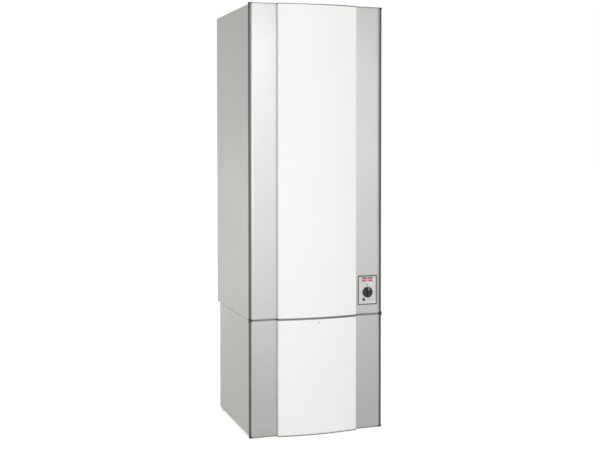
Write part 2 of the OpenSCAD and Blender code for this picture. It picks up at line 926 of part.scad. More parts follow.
// One angle leg with the plate that its foot screws into, drawn for a front leg
module leg(clips) {
    difference() {
        union() {
            block(web_x - leg_w, web_x, core_y, core_y + leg_t, leg_z, base_z);
            block(web_x - leg_t, web_x, core_y, core_y + leg_w, leg_z, base_z);
            block(web_x - leg_w, web_x, core_y, core_y + leg_w, leg_z, leg_z + leg_plate_t);
        }
        rod_z(foot_screw_r + run_gap, web_x - foot_in, front_foot_y, leg_z - over,
            leg_z + leg_plate_t + over);
        for (z = clips)
            rod_y(clip_r + run_gap, clip_x, core_y - over, core_y + leg_t + over, z);
    }
}

module support_legs() {
    color("gray") for (s = [-1, 1]) on_side(s) {
        leg(clip_zs);
        translate([0, core_y + lower_back_y - sheet, 0]) mirror([0, 1, 0]) leg([]);
    }
}

module frame_rails() {
    x1 = web_x - leg_t;
    x0 = x1 - rail_t;
    y0 = core_y + leg_t;
    y1 = lower_back_y - sheet - leg_t;
    top_z = base_z - rail_h;
    color("gray") {
        for (s = [-1, 1], z = [low_rail_z, top_z])
            on_side(s) block(x0, x1, y0, y1, z, z + rail_h);
        for (z = [low_rail_z, top_z]) block(-x0, x0, y1 - rail_t, y1, z, z + rail_h);
        difference() {
            block(-x0, x0, y0, y0 + rail_t, top_z, base_z);
            rod_y(screw_r + run_gap, 0, y0 - over, y0 + rail_t + over, screw_z);
        }
    }
}

module catch_clips() {
    color("black") for (s = [-1, 1], z = clip_zs) on_side(s) difference() {
        union() {
            rod_y(clip_r, clip_x, core_y, core_y + clip_len, z);
            rod_y(clip_flange_r, clip_x, core_y + leg_t, core_y + leg_t + clip_flange_t, z);
        }
        rod_y(catch_ball_r + fit_gap, clip_x, core_y - over, core_y + clip_len + over, z);
    }
}

// Channel against the wall, with its flanges on the back panel
module wall_bracket() {
    y0 = back_y - sheet;
    color("silver") difference() {
        block(-bracket_w / 2, bracket_w / 2, y0, wall_y, bracket_z - bracket_h / 2,
            bracket_z + bracket_h / 2);
        block(-bracket_w / 2 - over, bracket_w / 2 + over, y0 - over, wall_y - bracket_t,
            bracket_z - bracket_h / 2 + bracket_t, bracket_z + bracket_h / 2 - bracket_t);
        for (s = [-1, 1])
            rod_y(bracket_hole_r, s * bracket_pitch / 2, y0, wall_y + over, bracket_z);
    }
}

module wall_spacers() {
    color("black") for (s = [-1, 1])
        rod_y(spacer_r, s * spacer_x, back_y - sheet, wall_y, base_z + spacer_rise);
}

module safety_valve_body() {
    zc = upper_valve_z + valve_len / 2;
    branch_y = tank_y - discharge_at;
    color("goldenrod") difference() {
        union() {
            rod_z(valve_r, -pipe_x, tank_y, upper_valve_z, conn_z);
            hex_z(valve_hex_r, -pipe_x, tank_y, conn_z - valve_hex_h, conn_z);
            rod_z(pipe_r, -pipe_x, tank_y, upper_valve_z - socket, upper_valve_z);
            rod_y(safety_branch_r, -pipe_x, tank_y - safety_out, tank_y, zc);
            rod_x(discharge_boss_r, -pipe_x - discharge_out, -pipe_x, branch_y, zc);
        }
        rod_z(pipe_r + run_gap, -pipe_x, tank_y, conn_z - socket, conn_z + over);
        rod_z(spigot_bore, -pipe_x, tank_y, upper_valve_z - socket - over, conn_z);
        rod_y(safety_spindle_r + run_gap, -pipe_x, tank_y - safety_out - over,
            tank_y - safety_out + safety_spindle_in + fit_gap, zc);
        rod_x(discharge_r + run_gap, -pipe_x - discharge_out - over,
            -pipe_x - discharge_out + socket, branch_y, zc);
    }
}

// From the safety valve's side outlet down to just above the floor
module discharge_pipe() {
    zc = upper_valve_z + valve_len / 2;
    branch_y = tank_y - discharge_at;
    x0 = -pipe_x - discharge_out - discharge_bend;
    color("orange") difference() {
        discharge_run(x0, branch_y, zc, discharge_r, 0);
        discharge_run(x0, branch_y, zc, discharge_r - discharge_t, over);
    }
}

module discharge_run(x0, y, z, r, past) {
    rod_x(r, x0 + discharge_bend, x0 + discharge_bend + socket + past, y, z);
    rod_z(r, x0, y, discharge_end - past, z - discharge_bend);
    translate([x0 + discharge_bend, y, z - discharge_bend]) rotate([90, 0, 0]) rotate(90)
        rotate_extrude(angle = 90) translate([discharge_bend, 0]) circle(r);
}

module cold_valve_body() {
    color("goldenrod") valve_body(-pipe_x, lower_valve_z);
}

// Tee under the cold valve, with the drain cock's branch and hose tail
module drain_tee() {
    z1 = lower_valve_z;
    z0 = z1 - tee_len;
    zc = z0 + drain_rise;
    tail_y = tank_y - drain_tail_at;
    color("goldenrod") difference() {
        union() {
            rod_z(tee_r, -pipe_x, tank_y, z0, z1);
            rod_z(pipe_r, -pipe_x, tank_y, z1, z1 + socket);
            rod_y(drain_r, -pipe_x, tank_y - drain_out, tank_y, zc);
            rod_z(drain_tail_r, -pipe_x, tail_y, zc - drain_tail_len, zc);
            rod_z(drain_collar_r, -pipe_x, tail_y, zc - drain_r - drain_collar_h, zc);
        }
        rod_z(spigot_bore, -pipe_x, tank_y, z0, z1 + socket + over);
        rod_z(pipe_r + run_gap, -pipe_x, tank_y, z0 - over, z0 + socket);
        rod_z(drain_tail_bore, -pipe_x, tail_y, zc - drain_tail_len - over, zc);
        rod_y(drain_tail_bore, -pipe_x, tail_y, tank_y, zc);
        rod_y(drain_spindle_r + run_gap, -pipe_x, tank_y - drain_out - over,
            tank_y - drain_out + drain_spindle_in - fit_gap, zc);
    }
}

module cold_supply_pipe() {
    top = lower_valve_z - tee_len + socket;
    color("orange") wall_pipe(-pipe_x, top, cold_out_h, wall_y, pipe_r, pipe_t);
}

module hot_valve_body() {
    color("goldenrod") valve_body(pipe_x, upper_valve_z);
}

module hot_outlet_pipe() {
    color("orange") wall_pipe(pipe_x, upper_valve_z + socket, hot_out_h, wall_y, pipe_r, pipe_t);
}

// Skirt, grip ridge and spindle
module thermostat_knob() {
    y1 = fascia_y - knob_gap;
    color("black") {
        rod_y(knob_r, panel_x, y1 - knob_skirt, y1, knob_z);
        intersection() {
            rod_y(knob_r, panel_x, y1 - knob_h, y1, knob_z);
            block(panel_x - knob_ridge_w / 2, panel_x + knob_ridge_w / 2, y1 - knob_h, y1,
                knob_z - knob_r, knob_z + knob_r);
        }
        rod_y(spindle_r, panel_x, y1 - knob_skirt, fascia_y + fascia_t + spindle_in, knob_z);
    }
}

module reset_button() {
    x = panel_x - button_dx;
    z = panel_z - button_dz;
    y0 = fascia_y - button_out;
    color("black") {
        rod_y(button_r, x, y0, y0 + button_len, z);
        rod_y(button_stem_r, x, y0, fascia_y + fascia_t + button_stem_in - fit_gap, z);
    }
}

module cold_valve_lever() {
    color("red") valve_lever(-pipe_x, lower_valve_z);
}

module hot_valve_lever() {
    color("red") valve_lever(pipe_x, upper_valve_z);
}

module safety_knob() {
    zc = upper_valve_z + valve_len / 2;
    y1 = tank_y - safety_out - fit_gap;
    color("red") {
        rod_y(safety_knob_r, -pipe_x, y1 - safety_knob_h, y1, zc);
        rod_y(safety_spindle_r, -pipe_x, y1 - safety_knob_h / 2,
            tank_y - safety_out + safety_spindle_in, zc);
    }
}

module drain_handle() {
    zc = lower_valve_z - tee_len + drain_rise;
    y1 = tank_y - drain_out - fit_gap;
    color("black") {
        block(-pipe_x - drain_bar / 2, -pipe_x + drain_bar / 2, y1 - drain_bar_t, y1,
            zc - drain_bar_w / 2, zc + drain_bar_w / 2);
        rod_y(drain_spindle_r, -pipe_x, y1 - drain_bar_t / 2,
            y1 + drain_spindle_in - fit_gap, zc);
    }
}

module lower_white_panel() {
    color("white") difference() {
        white_panel(lower_z0, lower_z1, carrier_y);
        rod_y(screw_head_r + screw_hole_gap, 0, front_y - over, strip_y - step, screw_z);
    }
}

module lower_strips() {
    color("silver") for (s = [-1, 1]) strip(s, lower_z0, lower_z1, carrier_y, carrier_y);
}

module lower_trims() {
    color("dimgray") trims(lower_z0, lower_z1, carrier_y, carrier_y + sheet);
}

module lower_corner_caps() {
    color("black") corner_caps(lower_z0, lower_z1, 0, cap_proud, carrier_y);
}

// Inner tray of the lower front, with the ball studs that snap into the clips
module cover_carrier() {
    y1 = carrier_y + sheet;
    ball_y = core_y + clip_len / 2;
    color("gray") {
        difference() {
            block(-side_x, side_x, carrier_y, y1, lower_z0 + end_trim_t, lower_z1 - end_trim_t);
            rod_y(screw_r + run_gap, 0, carrier_y - over, y1 + over, screw_z);
        }
        for (s = [-1, 1], z = clip_zs) on_side(s) {
            rod_y(catch_base_r, clip_x, y1, y1 + sheet, z);
            rod_y(catch_neck_r, clip_x, y1, ball_y, z);
            translate([clip_x, ball_y, z]) sphere(catch_ball_r);
        }
    }
}

// Captive screw in the middle of the lower front, just below the joint
module cover_screw() {
    head_y = front_y + trim_proud;
    color("gray") difference() {
        union() {
            rod_y(screw_head_r, 0, head_y, head_y + screw_head_h, screw_z);
            rod_y(screw_r, 0, head_y, core_y + leg_t + rail_t + screw_end, screw_z);
        }
        block(-screw_head_r - over, screw_head_r + over, head_y - over, head_y + screw_slot,
            screw_z - screw_slot / 2, screw_z + screw_slot / 2);
    }
}

module foot_front_left() {
    color("black") foot(-1, front_foot_y);
}

module foot_front_right() {
    color("black") foot(1, front_foot_y);
}

module foot_rear_left() {
    color("black") foot(-1, rear_foot_y);
}

module foot_rear_right() {
    color("black") foot(1, rear_foot_y);
}

upper_white_panel();
upper_left_strip();
upper_right_strip();
upper_trims();
upper_corner_caps();
inner_front_panel();
upper_left_side_panel();
upper_right_side_panel();
top_panel();
back_panel();
base_plate();
insulation_foam();
tank_shell();
element_flange();
flange_gasket();
flange_bolts();
heating_elements();
anode_rod();
cold_inlet_tube();
hot_standpipe();
terminal_cover();
control_cables();
junction_box();
cable_gland();
control_frame();
control_fascia();
display_window();
thermostat_body();
reset_switch();
control_housing();
lower_left_side_panel();
lower_right_side_panel();
support_legs();
frame_rails();
catch_clips();
wall_bracket();
wall_spacers();
safety_valve_body();
discharge_pipe();
cold_valve_body();
drain_tee();
cold_supply_pipe();
hot_valve_body();
hot_outlet_pipe();
thermostat_knob();
reset_button();
cold_valve_lever();
hot_valve_lever();
safety_knob();
drain_handle();
lower_white_panel();
lower_strips();
lower_trims();
lower_corner_caps();
cover_carrier();
cover_screw();
foot_front_left();
foot_front_right();
foot_rear_left();
foot_rear_right();
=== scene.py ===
"""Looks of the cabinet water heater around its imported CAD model, in metres."""
import json
import math

import bmesh
import bpy
from mathutils import Matrix, Vector

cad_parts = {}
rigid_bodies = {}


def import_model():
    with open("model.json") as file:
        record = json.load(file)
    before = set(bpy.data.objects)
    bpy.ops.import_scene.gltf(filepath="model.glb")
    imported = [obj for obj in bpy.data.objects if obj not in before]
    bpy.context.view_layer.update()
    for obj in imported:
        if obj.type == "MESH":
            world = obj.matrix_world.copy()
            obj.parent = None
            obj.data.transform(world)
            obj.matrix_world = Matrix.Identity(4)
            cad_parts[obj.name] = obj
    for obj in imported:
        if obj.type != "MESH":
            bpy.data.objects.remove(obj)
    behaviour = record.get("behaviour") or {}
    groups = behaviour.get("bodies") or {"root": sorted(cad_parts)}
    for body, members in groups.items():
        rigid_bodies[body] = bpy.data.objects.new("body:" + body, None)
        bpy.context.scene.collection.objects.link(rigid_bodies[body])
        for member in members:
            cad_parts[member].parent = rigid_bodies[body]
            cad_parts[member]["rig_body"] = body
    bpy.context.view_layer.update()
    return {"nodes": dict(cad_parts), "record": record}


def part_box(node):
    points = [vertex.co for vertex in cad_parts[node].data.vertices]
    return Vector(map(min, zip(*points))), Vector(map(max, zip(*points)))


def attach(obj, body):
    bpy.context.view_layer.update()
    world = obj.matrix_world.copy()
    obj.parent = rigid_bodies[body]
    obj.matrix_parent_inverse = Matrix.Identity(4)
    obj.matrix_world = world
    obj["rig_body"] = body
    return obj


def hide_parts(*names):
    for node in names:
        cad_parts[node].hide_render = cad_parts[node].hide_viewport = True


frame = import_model()

MM = 0.001
NODES = frame["nodes"]


def box_middle(lo, hi):
    """Middle of a box in X and Z."""
    return ((lo.x + hi.x) / 2, (lo.z + hi.z) / 2)


def box_size(lo, hi):
    """Width and height of a box."""
    return (hi.x - lo.x, hi.z - lo.z)


# Camera, solved from the photograph's straight edges
PHOTO_W_PX = 600
FOCAL_PX = 1026.55
AXIS_ABOVE_MIDDLE_PX = 51.73
SENSOR_MM = 36.0
FAR_CLIP = 60
CAMERA_PLACE = (-1.4191, -4.3844, 1.2523)
CAMERA_YAW = 0.31653
CAMERA_PITCH = -0.03228
CAMERA_ROLL = -0.00061

# Boxes of the CAD nodes that finer pieces are built from
strip_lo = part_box("upper_left_strip")[0]
white_lo, white_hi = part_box("upper_white_panel")
low_white_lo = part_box("lower_white_panel")[0]
trims_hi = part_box("upper_trims")[1]
panel_lo, panel_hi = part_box("control_frame")
fascia_lo, fascia_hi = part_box("control_fascia")
lens_lo, lens_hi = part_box("display_window")
knob_lo, knob_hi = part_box("thermostat_knob")
button_lo, button_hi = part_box("reset_button")
housing_lo, housing_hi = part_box("control_housing")
screw_lo, screw_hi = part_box("cover_screw")

PANEL = box_middle(panel_lo, panel_hi)
PANEL_W, PANEL_H = box_size(panel_lo, panel_hi)
FASCIA = box_middle(fascia_lo, fascia_hi)
FASCIA_W, FASCIA_H = box_size(fascia_lo, fascia_hi)
LENS = box_middle(lens_lo, lens_hi)
LENS_W, LENS_H = box_size(lens_lo, lens_hi)
HOUSING = box_middle(housing_lo, housing_hi)
HOUSING_W, HOUSING_H = box_size(housing_lo, housing_hi)
KNOB = box_middle(knob_lo, knob_hi)
KNOB_R = box_size(knob_lo, knob_hi)[0] / 2
BUTTON = box_middle(button_lo, button_hi)
BUTTON_R = box_size(button_lo, button_hi)[0] / 2
SCREW = box_middle(screw_lo, screw_hi)
SCREW_R = box_size(screw_lo, screw_hi)[0] / 2

# Sheet: its thickness, the outer radius of its bends, and the flange turned in at its rear edge
SHEET = 1.2 * MM
BEND = 2.2 * MM
TURN_IN = 12 * MM

# How far a cutter runs past the face that it starts from
OVERRUN = 1 * MM

# White panels, in front of the strips' face: half width, step, bow beyond the step, corner radius
STRIP_Y = strip_lo.y
WHITE_X = white_hi.x
STEP = 15.5 * MM
BOW = STRIP_Y - STEP - white_lo.y
WHITE_R = 5 * MM

# Silver strips: from beside the white panel to the edge trims, rolling back at their outer edge
SEAM = 0.05 * MM
INNER_X = WHITE_X + SEAM
TRIM_X = -strip_lo.x
INNER_BEND = 0.2 * MM
ROLL_W = 15 * MM
ROLL_DEPTH = 5.5 * MM
WALL_LEAST = 0.3 * MM

# Opening in the right strip for the controls' housing
HOUSING_GAP = 0.5 * MM
HOUSING_OPENING_R = 2 * MM
HOUSING_CUT = 3 * MM

# Trims: edge trims lie behind the strips' face, end trims stand out of the whole front
HALF_W = trims_hi.x
EDGE_RECESS = 2 * MM
EDGE_INNER_R = 0.8 * MM
EDGE_OUTER_R = 3 * MM
END_T = 4.5 * MM
END_PROUD = 0.5 * MM
END_ROUND = 0.7 * MM

# Corner caps; those at the joint of the two fronts stand out of the edge trims
CAP_REACH = 7 * MM
CAP_X = TRIM_X - CAP_REACH
CAP_H = 8 * MM
CAP_PROUD = 2 * MM
CAP_ROUND = 1.2 * MM

# Rounding of the side and top panels' edges
SIDE_ROUND = 0.5 * MM

# Control panel's rim: rounded outside, and sloping down to the fascia inside
RIM_R = 3.2 * MM
RIM_R_LEAST = 0.8 * MM
RIM_ROUND = 0.7 * MM
RIM_NIP = 0.2 * MM
RIM_SLOPE = 1.6 * MM
RIM_SLOPE_NIP = 1.1 * MM
RIM_BACK = 3 * MM

# Fascia and lens
FASCIA_R = 1 * MM
SPINDLE_HOLE_R = 3.3 * MM
BUTTON_HOLE_R = 6.15 * MM
LENS_GAP = 0.15 * MM
LENS_HOLE_R = 1.2 * MM
LENS_R = 1.1 * MM
LENS_ROUND = 0.25 * MM

# Display: places from the control panel's middle to the lower left corner of each number
LIT_PROUD = 0.12 * MM
LIT_DEPTH = 0.1 * MM
LIT_Y = (lens_lo.y - LIT_PROUD, lens_lo.y + LIT_DEPTH)
LARGE_NUMBERS = ((-24.2 * MM, "068"), (2.6 * MM, "085"))
LARGE_DIGITS = {"z": 48.4 * MM, "w": 4.8 * MM, "h": 6.6 * MM, "pitch": 7.4 * MM, "half": 1.15 * MM}
SMALL_NUMBERS = ((-23.6 * MM, "265"), (5.6 * MM, "380"))
SMALL_DIGITS = {"z": 38.4 * MM, "w": 3.9 * MM, "h": 4.8 * MM, "pitch": 5.9 * MM, "half": 0.95 * MM}
SEGMENT_GAP_SHARE = 0.06
SEGMENTS = {"0": "abcdef", "1": "bc", "2": "abged", "3": "abgcd", "4": "fgbc", "5": "afgcd",
            "6": "afgedc", "7": "abc", "8": "abcdefg", "9": "abcfgd"}

# Square lamp in the display, from the control panel's middle
LAMP = (-1.2 * MM, 40.8 * MM)
LAMP_W = 3.4 * MM
LAMP_R = 0.8 * MM

# Dial scale round the knob's middle, with a mark at each turn to both sides of the top
PRINT_PROUD = 0.08 * MM
PRINT_DEPTH = 0.02 * MM
PRINT_Y = (fascia_lo.y - PRINT_PROUD, fascia_lo.y + PRINT_DEPTH)
MARK_TURN = math.radians(22.5)
MARKS_EACH_SIDE = 6
MARK_R = 24.6 * MM
LONG_MARK_R = 27.4 * MM
SHORT_MARK_R = 26.2 * MM
MARK_HALF = 0.3 * MM
TOP_MARK_HALF = 0.45 * MM
SCALE_NUMBERS = ((-6, "20"), (-4, "30"), (-2, "40"), (2, "60"), (4, "70"), (6, "80"))
NUMBER_SIZE = 4.6 * MM
NUMBER_REACH_X = 31 * MM
NUMBER_REACH_Z = 30.5 * MM
TICK_RISE = 32.8 * MM
TICK_W = 3.2 * MM
TICK_H = 7 * MM
TICK_R = 0.5 * MM

# Plain lines in the lower right corner, placed from the control panel's middle
LINES = 3
LINE_X = 17 * MM
LINE_DROP = 37 * MM
LINE_PITCH = 6 * MM
LINE_W = 30 * MM
LINE_H = 0.7 * MM
LINE_R = 0.3 * MM

# Knob: pairs of inset from its rim and depth below its face, then of inset and share of its depth
KNOB_GAP = 0.5 * MM
KNOB_EDGE = ((3.5 * MM, 0), (2.4 * MM, 0.35 * MM), (1.7 * MM, 1.2 * MM))
KNOB_SKIRT_SHARES = ((0.9 * MM, 0.62), (0.4 * MM, 0.7), (0, 0.78))
KNOB_BACK_IN = 0.5 * MM
KNOB_BACK_UP = 0.6 * MM
KNOB_ROUND = 0.5 * MM
GRIP_HALF = 6 * MM
SCOOP_R = 12.48 * MM
SCOOP_REACH = 24 * MM
POINTER_RISE = 14 * MM
POINTER_W = 1.6 * MM
POINTER_H = 10 * MM
POINTER_R = 0.6 * MM
POINTER_PROUD = 0.02 * MM
POINTER_DEPTH = 0.6 * MM

# Button: its dished face in shares of its radius and of the dish, and its edge as on the knob
BUTTON_DISH = 0.5 * MM
BUTTON_DISH_SHARES = ((0, 1), (0.45, 0.84), (0.72, 0.3))
BUTTON_EDGE = ((0.9 * MM, 0), (0.4 * MM, 0.1 * MM), (0, 0.6 * MM))
BUTTON_LENGTH = 6 * MM

# Cover screw: the hole round it, its low crown, its edge as on the knob, its shank and its slot
SCREW_HOLE_R = 4.6 * MM
SCREW_CROWN_SHARE = 0.6
SCREW_CROWN = 0.1 * MM
SCREW_EDGE = ((0.5 * MM, 0.4 * MM), (0, 1 * MM))
SCREW_HEAD_T = 3 * MM
SHANK_R = 2 * MM
SHANK_TIP = 0.5 * MM
SHANK_TIP_R = 1.4 * MM
SLOT_LENGTH = 3 * SCREW_R
SLOT_W = 1 * MM
SLOT_DEPTH = 1.2 * MM
SLOT_R = 0.2 * MM

# Angles in degrees from which an edge is shaded sharp, or is rounded
SHARP_FROM = 35
BEVEL_FROM = 40
KNOB_BEVEL_FROM = 35
CAD_BEVEL_FROM = 32

# Distances at which points are one point, and how far large faces outweigh narrow ones in shading
SAME_POINT = 1e-7
WELD_DISTANCE = 2e-6
FLAT_FACE_WEIGHT = 90


def make_camera():
    data = bpy.data.cameras.new("photo_camera")
    data.sensor_fit = "HORIZONTAL"
    data.sensor_width = SENSOR_MM
    data.lens = FOCAL_PX * SENSOR_MM / PHOTO_W_PX
    data.shift_y = -AXIS_ABOVE_MIDDLE_PX / PHOTO_W_PX
    data.clip_end = FAR_CLIP
    camera = bpy.data.objects.new("photo_camera", data)
    bpy.context.scene.collection.objects.link(camera)
    camera.location = CAMERA_PLACE
    yaw = Matrix.Rotation(-CAMERA_YAW, 3, "Z")
    pitch = Matrix.Rotation(math.pi / 2 + CAMERA_PITCH, 3, "X")
    roll = Matrix.Rotation(CAMERA_ROLL, 3, "Z")
    camera.rotation_euler = (yaw @ pitch @ roll).to_euler()
    bpy.context.scene.camera = camera


# Materials
def srgb(r, g, b):
    """Linear colour of an 8-bit sRGB colour."""
    def linear(v):
        v = v / 255
        return v / 12.92 if v <= 0.04045 else ((v + 0.055) / 1.055) ** 2.4
    return (linear(r), linear(g), linear(b), 1.0)


def shade(color, factor):
    return (color[0] * factor, color[1] * factor, color[2] * factor, 1.0)


class Shader:
    """A new material with a Principled surface and helpers that add nodes to it.

    Textures lie in object space, with scales per metre. Noise is mostly between 0.3 and 0.7.
    """

    MIX_FACTOR = 0
    MIX_FIRST = 6
    MIX_SECOND = 7
    MIX_RESULT = 2

    def __init__(self, name, color, rough, metallic=0.0, **sockets):
        self.material = bpy.data.materials.new(name)
        self.material.use_nodes = True
        self.tree = self.material.node_tree
        self.surface = self.tree.nodes["Principled BSDF"]
        self.color = color
        self.set("Base Color", color)
        self.set("Roughness", rough)
        self.set("Metallic", metallic)
        for label, value in sockets.items():
            self.set(label.replace("_", " "), value)
        self.place = self.add("ShaderNodeTexCoord").outputs["Object"]
        self.bump = None

    def set(self, label, value):
        self.surface.inputs[label].default_value = value

    def add(self, kind, **properties):
        node = self.tree.nodes.new(kind)
        for key, value in properties.items():
            setattr(node, key, value)
        return node

    def link(self, output, target):
        self.tree.links.new(output, target)

    def noise(self, scale, detail=3.0, rough=0.55, stretch=None):
        """Noise; stretch squeezes it along each axis."""
        node = self.add("ShaderNodeTexNoise")
        node.inputs["Scale"].default_value = scale
        node.inputs["Detail"].default_value = detail
        node.inputs["Roughness"].default_value = rough
        self.link(self.stretched(stretch), node.inputs["Vector"])
        return node.outputs["Fac"]

    def stretched(self, stretch):
        if stretch is None:
            return self.place
        node = self.add("ShaderNodeMapping")
        node.inputs["Scale"].default_value = stretch
        self.link(self.place, node.inputs["Vector"])
        return node.outputs["Vector"]

    def cells(self, scale, output):
        """Voronoi cells, by the Color of each or by the Distance from its middle."""
        node = self.add("ShaderNodeTexVoronoi", feature="F1")
        node.inputs["Scale"].default_value = scale
        self.link(self.place, node.inputs["Vector"])
        return node.outputs[output]

    def spread(self, value, low, high, start, end):
        """Maps start..end of a texture to low..high."""
        node = self.add("ShaderNodeMapRange")
        node.inputs["From Min"].default_value = start
        node.inputs["From Max"].default_value = end
        node.inputs["To Min"].default_value = low
        node.inputs["To Max"].default_value = high
        self.link(value, node.inputs["Value"])
        return node.outputs["Result"]

    def tint(self, value, other, start=0.3, end=0.7):
        """Blends the base colour towards another one where value is high."""
        node = self.add("ShaderNodeMix", data_type="RGBA")
        previous = self.surface.inputs["Base Color"]
        if previous.is_linked:
            self.link(previous.links[0].from_socket, node.inputs[self.MIX_FIRST])
        else:
            node.inputs[self.MIX_FIRST].default_value = self.color
        node.inputs[self.MIX_SECOND].default_value = other
        self.link(self.spread(value, 0.0, 1.0, start, end), node.inputs[self.MIX_FACTOR])
        self.link(node.outputs[self.MIX_RESULT], previous)

    def vary_rough(self, value, low, high, start=0.3, end=0.7):
        self.link(self.spread(value, low, high, start, end), self.surface.inputs["Roughness"])

    def relief(self, value, depth, strength):
        """Adds a bump of the given depth, on top of any earlier one, and returns the material."""
        node = self.add("ShaderNodeBump")
        node.inputs["Distance"].default_value = depth
        node.inputs["Strength"].default_value = strength
        self.link(value, node.inputs["Height"])
        if self.bump is not None:
            self.link(self.bump, node.inputs["Normal"])
        self.bump = node.outputs["Normal"]
        self.link(self.bump, self.surface.inputs["Normal"])
        return self.material


def enamel(name, color, rough):
    """Smooth stoved enamel with a faint orange peel."""
    s = Shader(name, color, rough, Specular_IOR_Level=0.4, Coat_Weight=0.06, Coat_Roughness=0.15)
    s.tint(s.noise(3.0), shade(color, 0.985))
    s.vary_rough(s.noise(40.0), rough - 0.03, rough + 0.03)
    return s.relief(s.noise(420.0, detail=2.0), depth=0.04 * MM, strength=0.35)


def silver(name, color, rough):
    """Silver lacquer: fine metal flakes under a thin clear coat."""
    s = Shader(name, color, rough, metallic=0.85, Coat_Weight=0.25, Coat_Roughness=0.25)
    flakes = s.cells(2600.0, "Color")
    s.tint(flakes, shade(color, 1.12), start=0.2, end=0.9)
    s.tint(s.noise(2.5), shade(color, 0.985))
    s.vary_rough(s.noise(60.0), rough - 0.01, rough + 0.01)
    s.relief(flakes, depth=0.02 * MM, strength=0.25)
    return s.relief(s.noise(420.0, detail=2.0), depth=0.03 * MM, strength=0.3)


def moulded(name, color, rough, grain=900.0, depth=0.06 * MM, **sockets):
    """Moulded plastic or rubber with a fine eroded grain."""
    s = Shader(name, color, rough, **sockets)
    s.tint(s.noise(25.0), shade(color, 1.18), start=0.35, end=0.75)
    s.vary_rough(s.noise(80.0), rough - 0.05, rough + 0.05)
    return s.relief(s.noise(grain, detail=4.0, rough=0.65), depth=depth, strength=0.6)


def powder_coat(name, color, rough):
    s = Shader(name, color, rough, Specular_IOR_Level=0.45)
    s.tint(s.noise(14.0), shade(color, 0.9))
    s.vary_rough(s.noise(120.0), rough - 0.06, rough + 0.06)
    return s.relief(s.noise(700.0, detail=3.0), depth=0.12 * MM, strength=0.5)


def galvanised(name, color):
    """Zinc-coated sheet with its spangle."""
    s = Shader(name, color, 0.42, metallic=1.0)
    spangle = s.cells(95.0, "Color")
    s.tint(spangle, shade(color, 0.72), start=0.1, end=0.9)
    s.tint(s.noise(5.0), shade(color, 0.85), start=0.45, end=0.75)
    s.vary_rough(spangle, 0.3, 0.52, start=0.1, end=0.9)
    return s.relief(s.noise(500.0, detail=2.0), depth=0.02 * MM, strength=0.3)


def machined(name, color, rough):
    """Turned or drawn metal with fine lines across Z."""
    s = Shader(name, color, rough, metallic=1.0)
    marks = s.noise(1.0, detail=2.0, rough=0.6, stretch=(900.0, 900.0, 12000.0))
    s.tint(s.noise(40.0), shade(color, 0.8), start=0.4, end=0.75)
    s.vary_rough(marks, rough - 0.08, rough + 0.1)
    return s.relief(marks, depth=0.02 * MM, strength=0.4)


def copper(name, color):
    """Drawn copper tube, brighter here and browner there."""
    s = Shader(name, color, 0.3, metallic=1.0)
    s.tint(s.noise(18.0, detail=5.0, rough=0.65), srgb(122, 74, 52), start=0.42, end=0.72)
    s.tint(s.noise(70.0, detail=4.0), srgb(214, 138, 104), start=0.55, end=0.8)
    s.vary_rough(s.noise(30.0, detail=5.0), 0.2, 0.48)
    drawn_lines = s.noise(1.0, detail=2.0, rough=0.5, stretch=(2500.0, 2500.0, 60.0))
    return s.relief(drawn_lines, depth=0.02 * MM, strength=0.3)


def cast_brass(name, color):
    s = Shader(name, color, 0.38, metallic=1.0)
    s.tint(s.noise(45.0, detail=4.0), srgb(140, 104, 52), start=0.45, end=0.75)
    s.vary_rough(s.noise(90.0), 0.28, 0.5)
    return s.relief(s.noise(800.0, detail=4.0, rough=0.7), depth=0.12 * MM, strength=0.5)


def poured_foam(name, color):
    """Rigid polyurethane foam: a cellular skin with darker, denser patches."""
    s = Shader(name, color, 0.9, Subsurface_Weight=0.05)
    s.tint(s.noise(9.0, detail=5.0), srgb(196, 160, 88), start=0.4, end=0.75)
    s.relief(s.cells(260.0, "Distance"), depth=1.2 * MM, strength=0.7)
    return s.relief(s.noise(24.0), depth=3 * MM, strength=0.5)


def oxidised(name, color):
    """Heating element's sheath, straw and blue from heat."""
    s = Shader(name, color, 0.4, metallic=1.0)
    s.tint(s.noise(14.0, detail=4.0), srgb(120, 92, 60), start=0.4, end=0.7)
    s.tint(s.noise(22.0, detail=3.0), srgb(70, 78, 104), start=0.55, end=0.8)
    s.vary_rough(s.noise(60.0), 0.3, 0.55)
    return s.relief(s.noise(900.0), depth=0.04 * MM, strength=0.4)


def dipped(name, color):
    """Vinyl-dipped handle with a soft sheen."""
    s = Shader(name, color, 0.32, Coat_Weight=0.4, Coat_Roughness=0.15)
    s.tint(s.noise(50.0), shade(color, 0.8))
    s.vary_rough(s.noise(120.0), 0.26, 0.4)
    return s.relief(s.noise(260.0, detail=2.0), depth=0.08 * MM, strength=0.4)


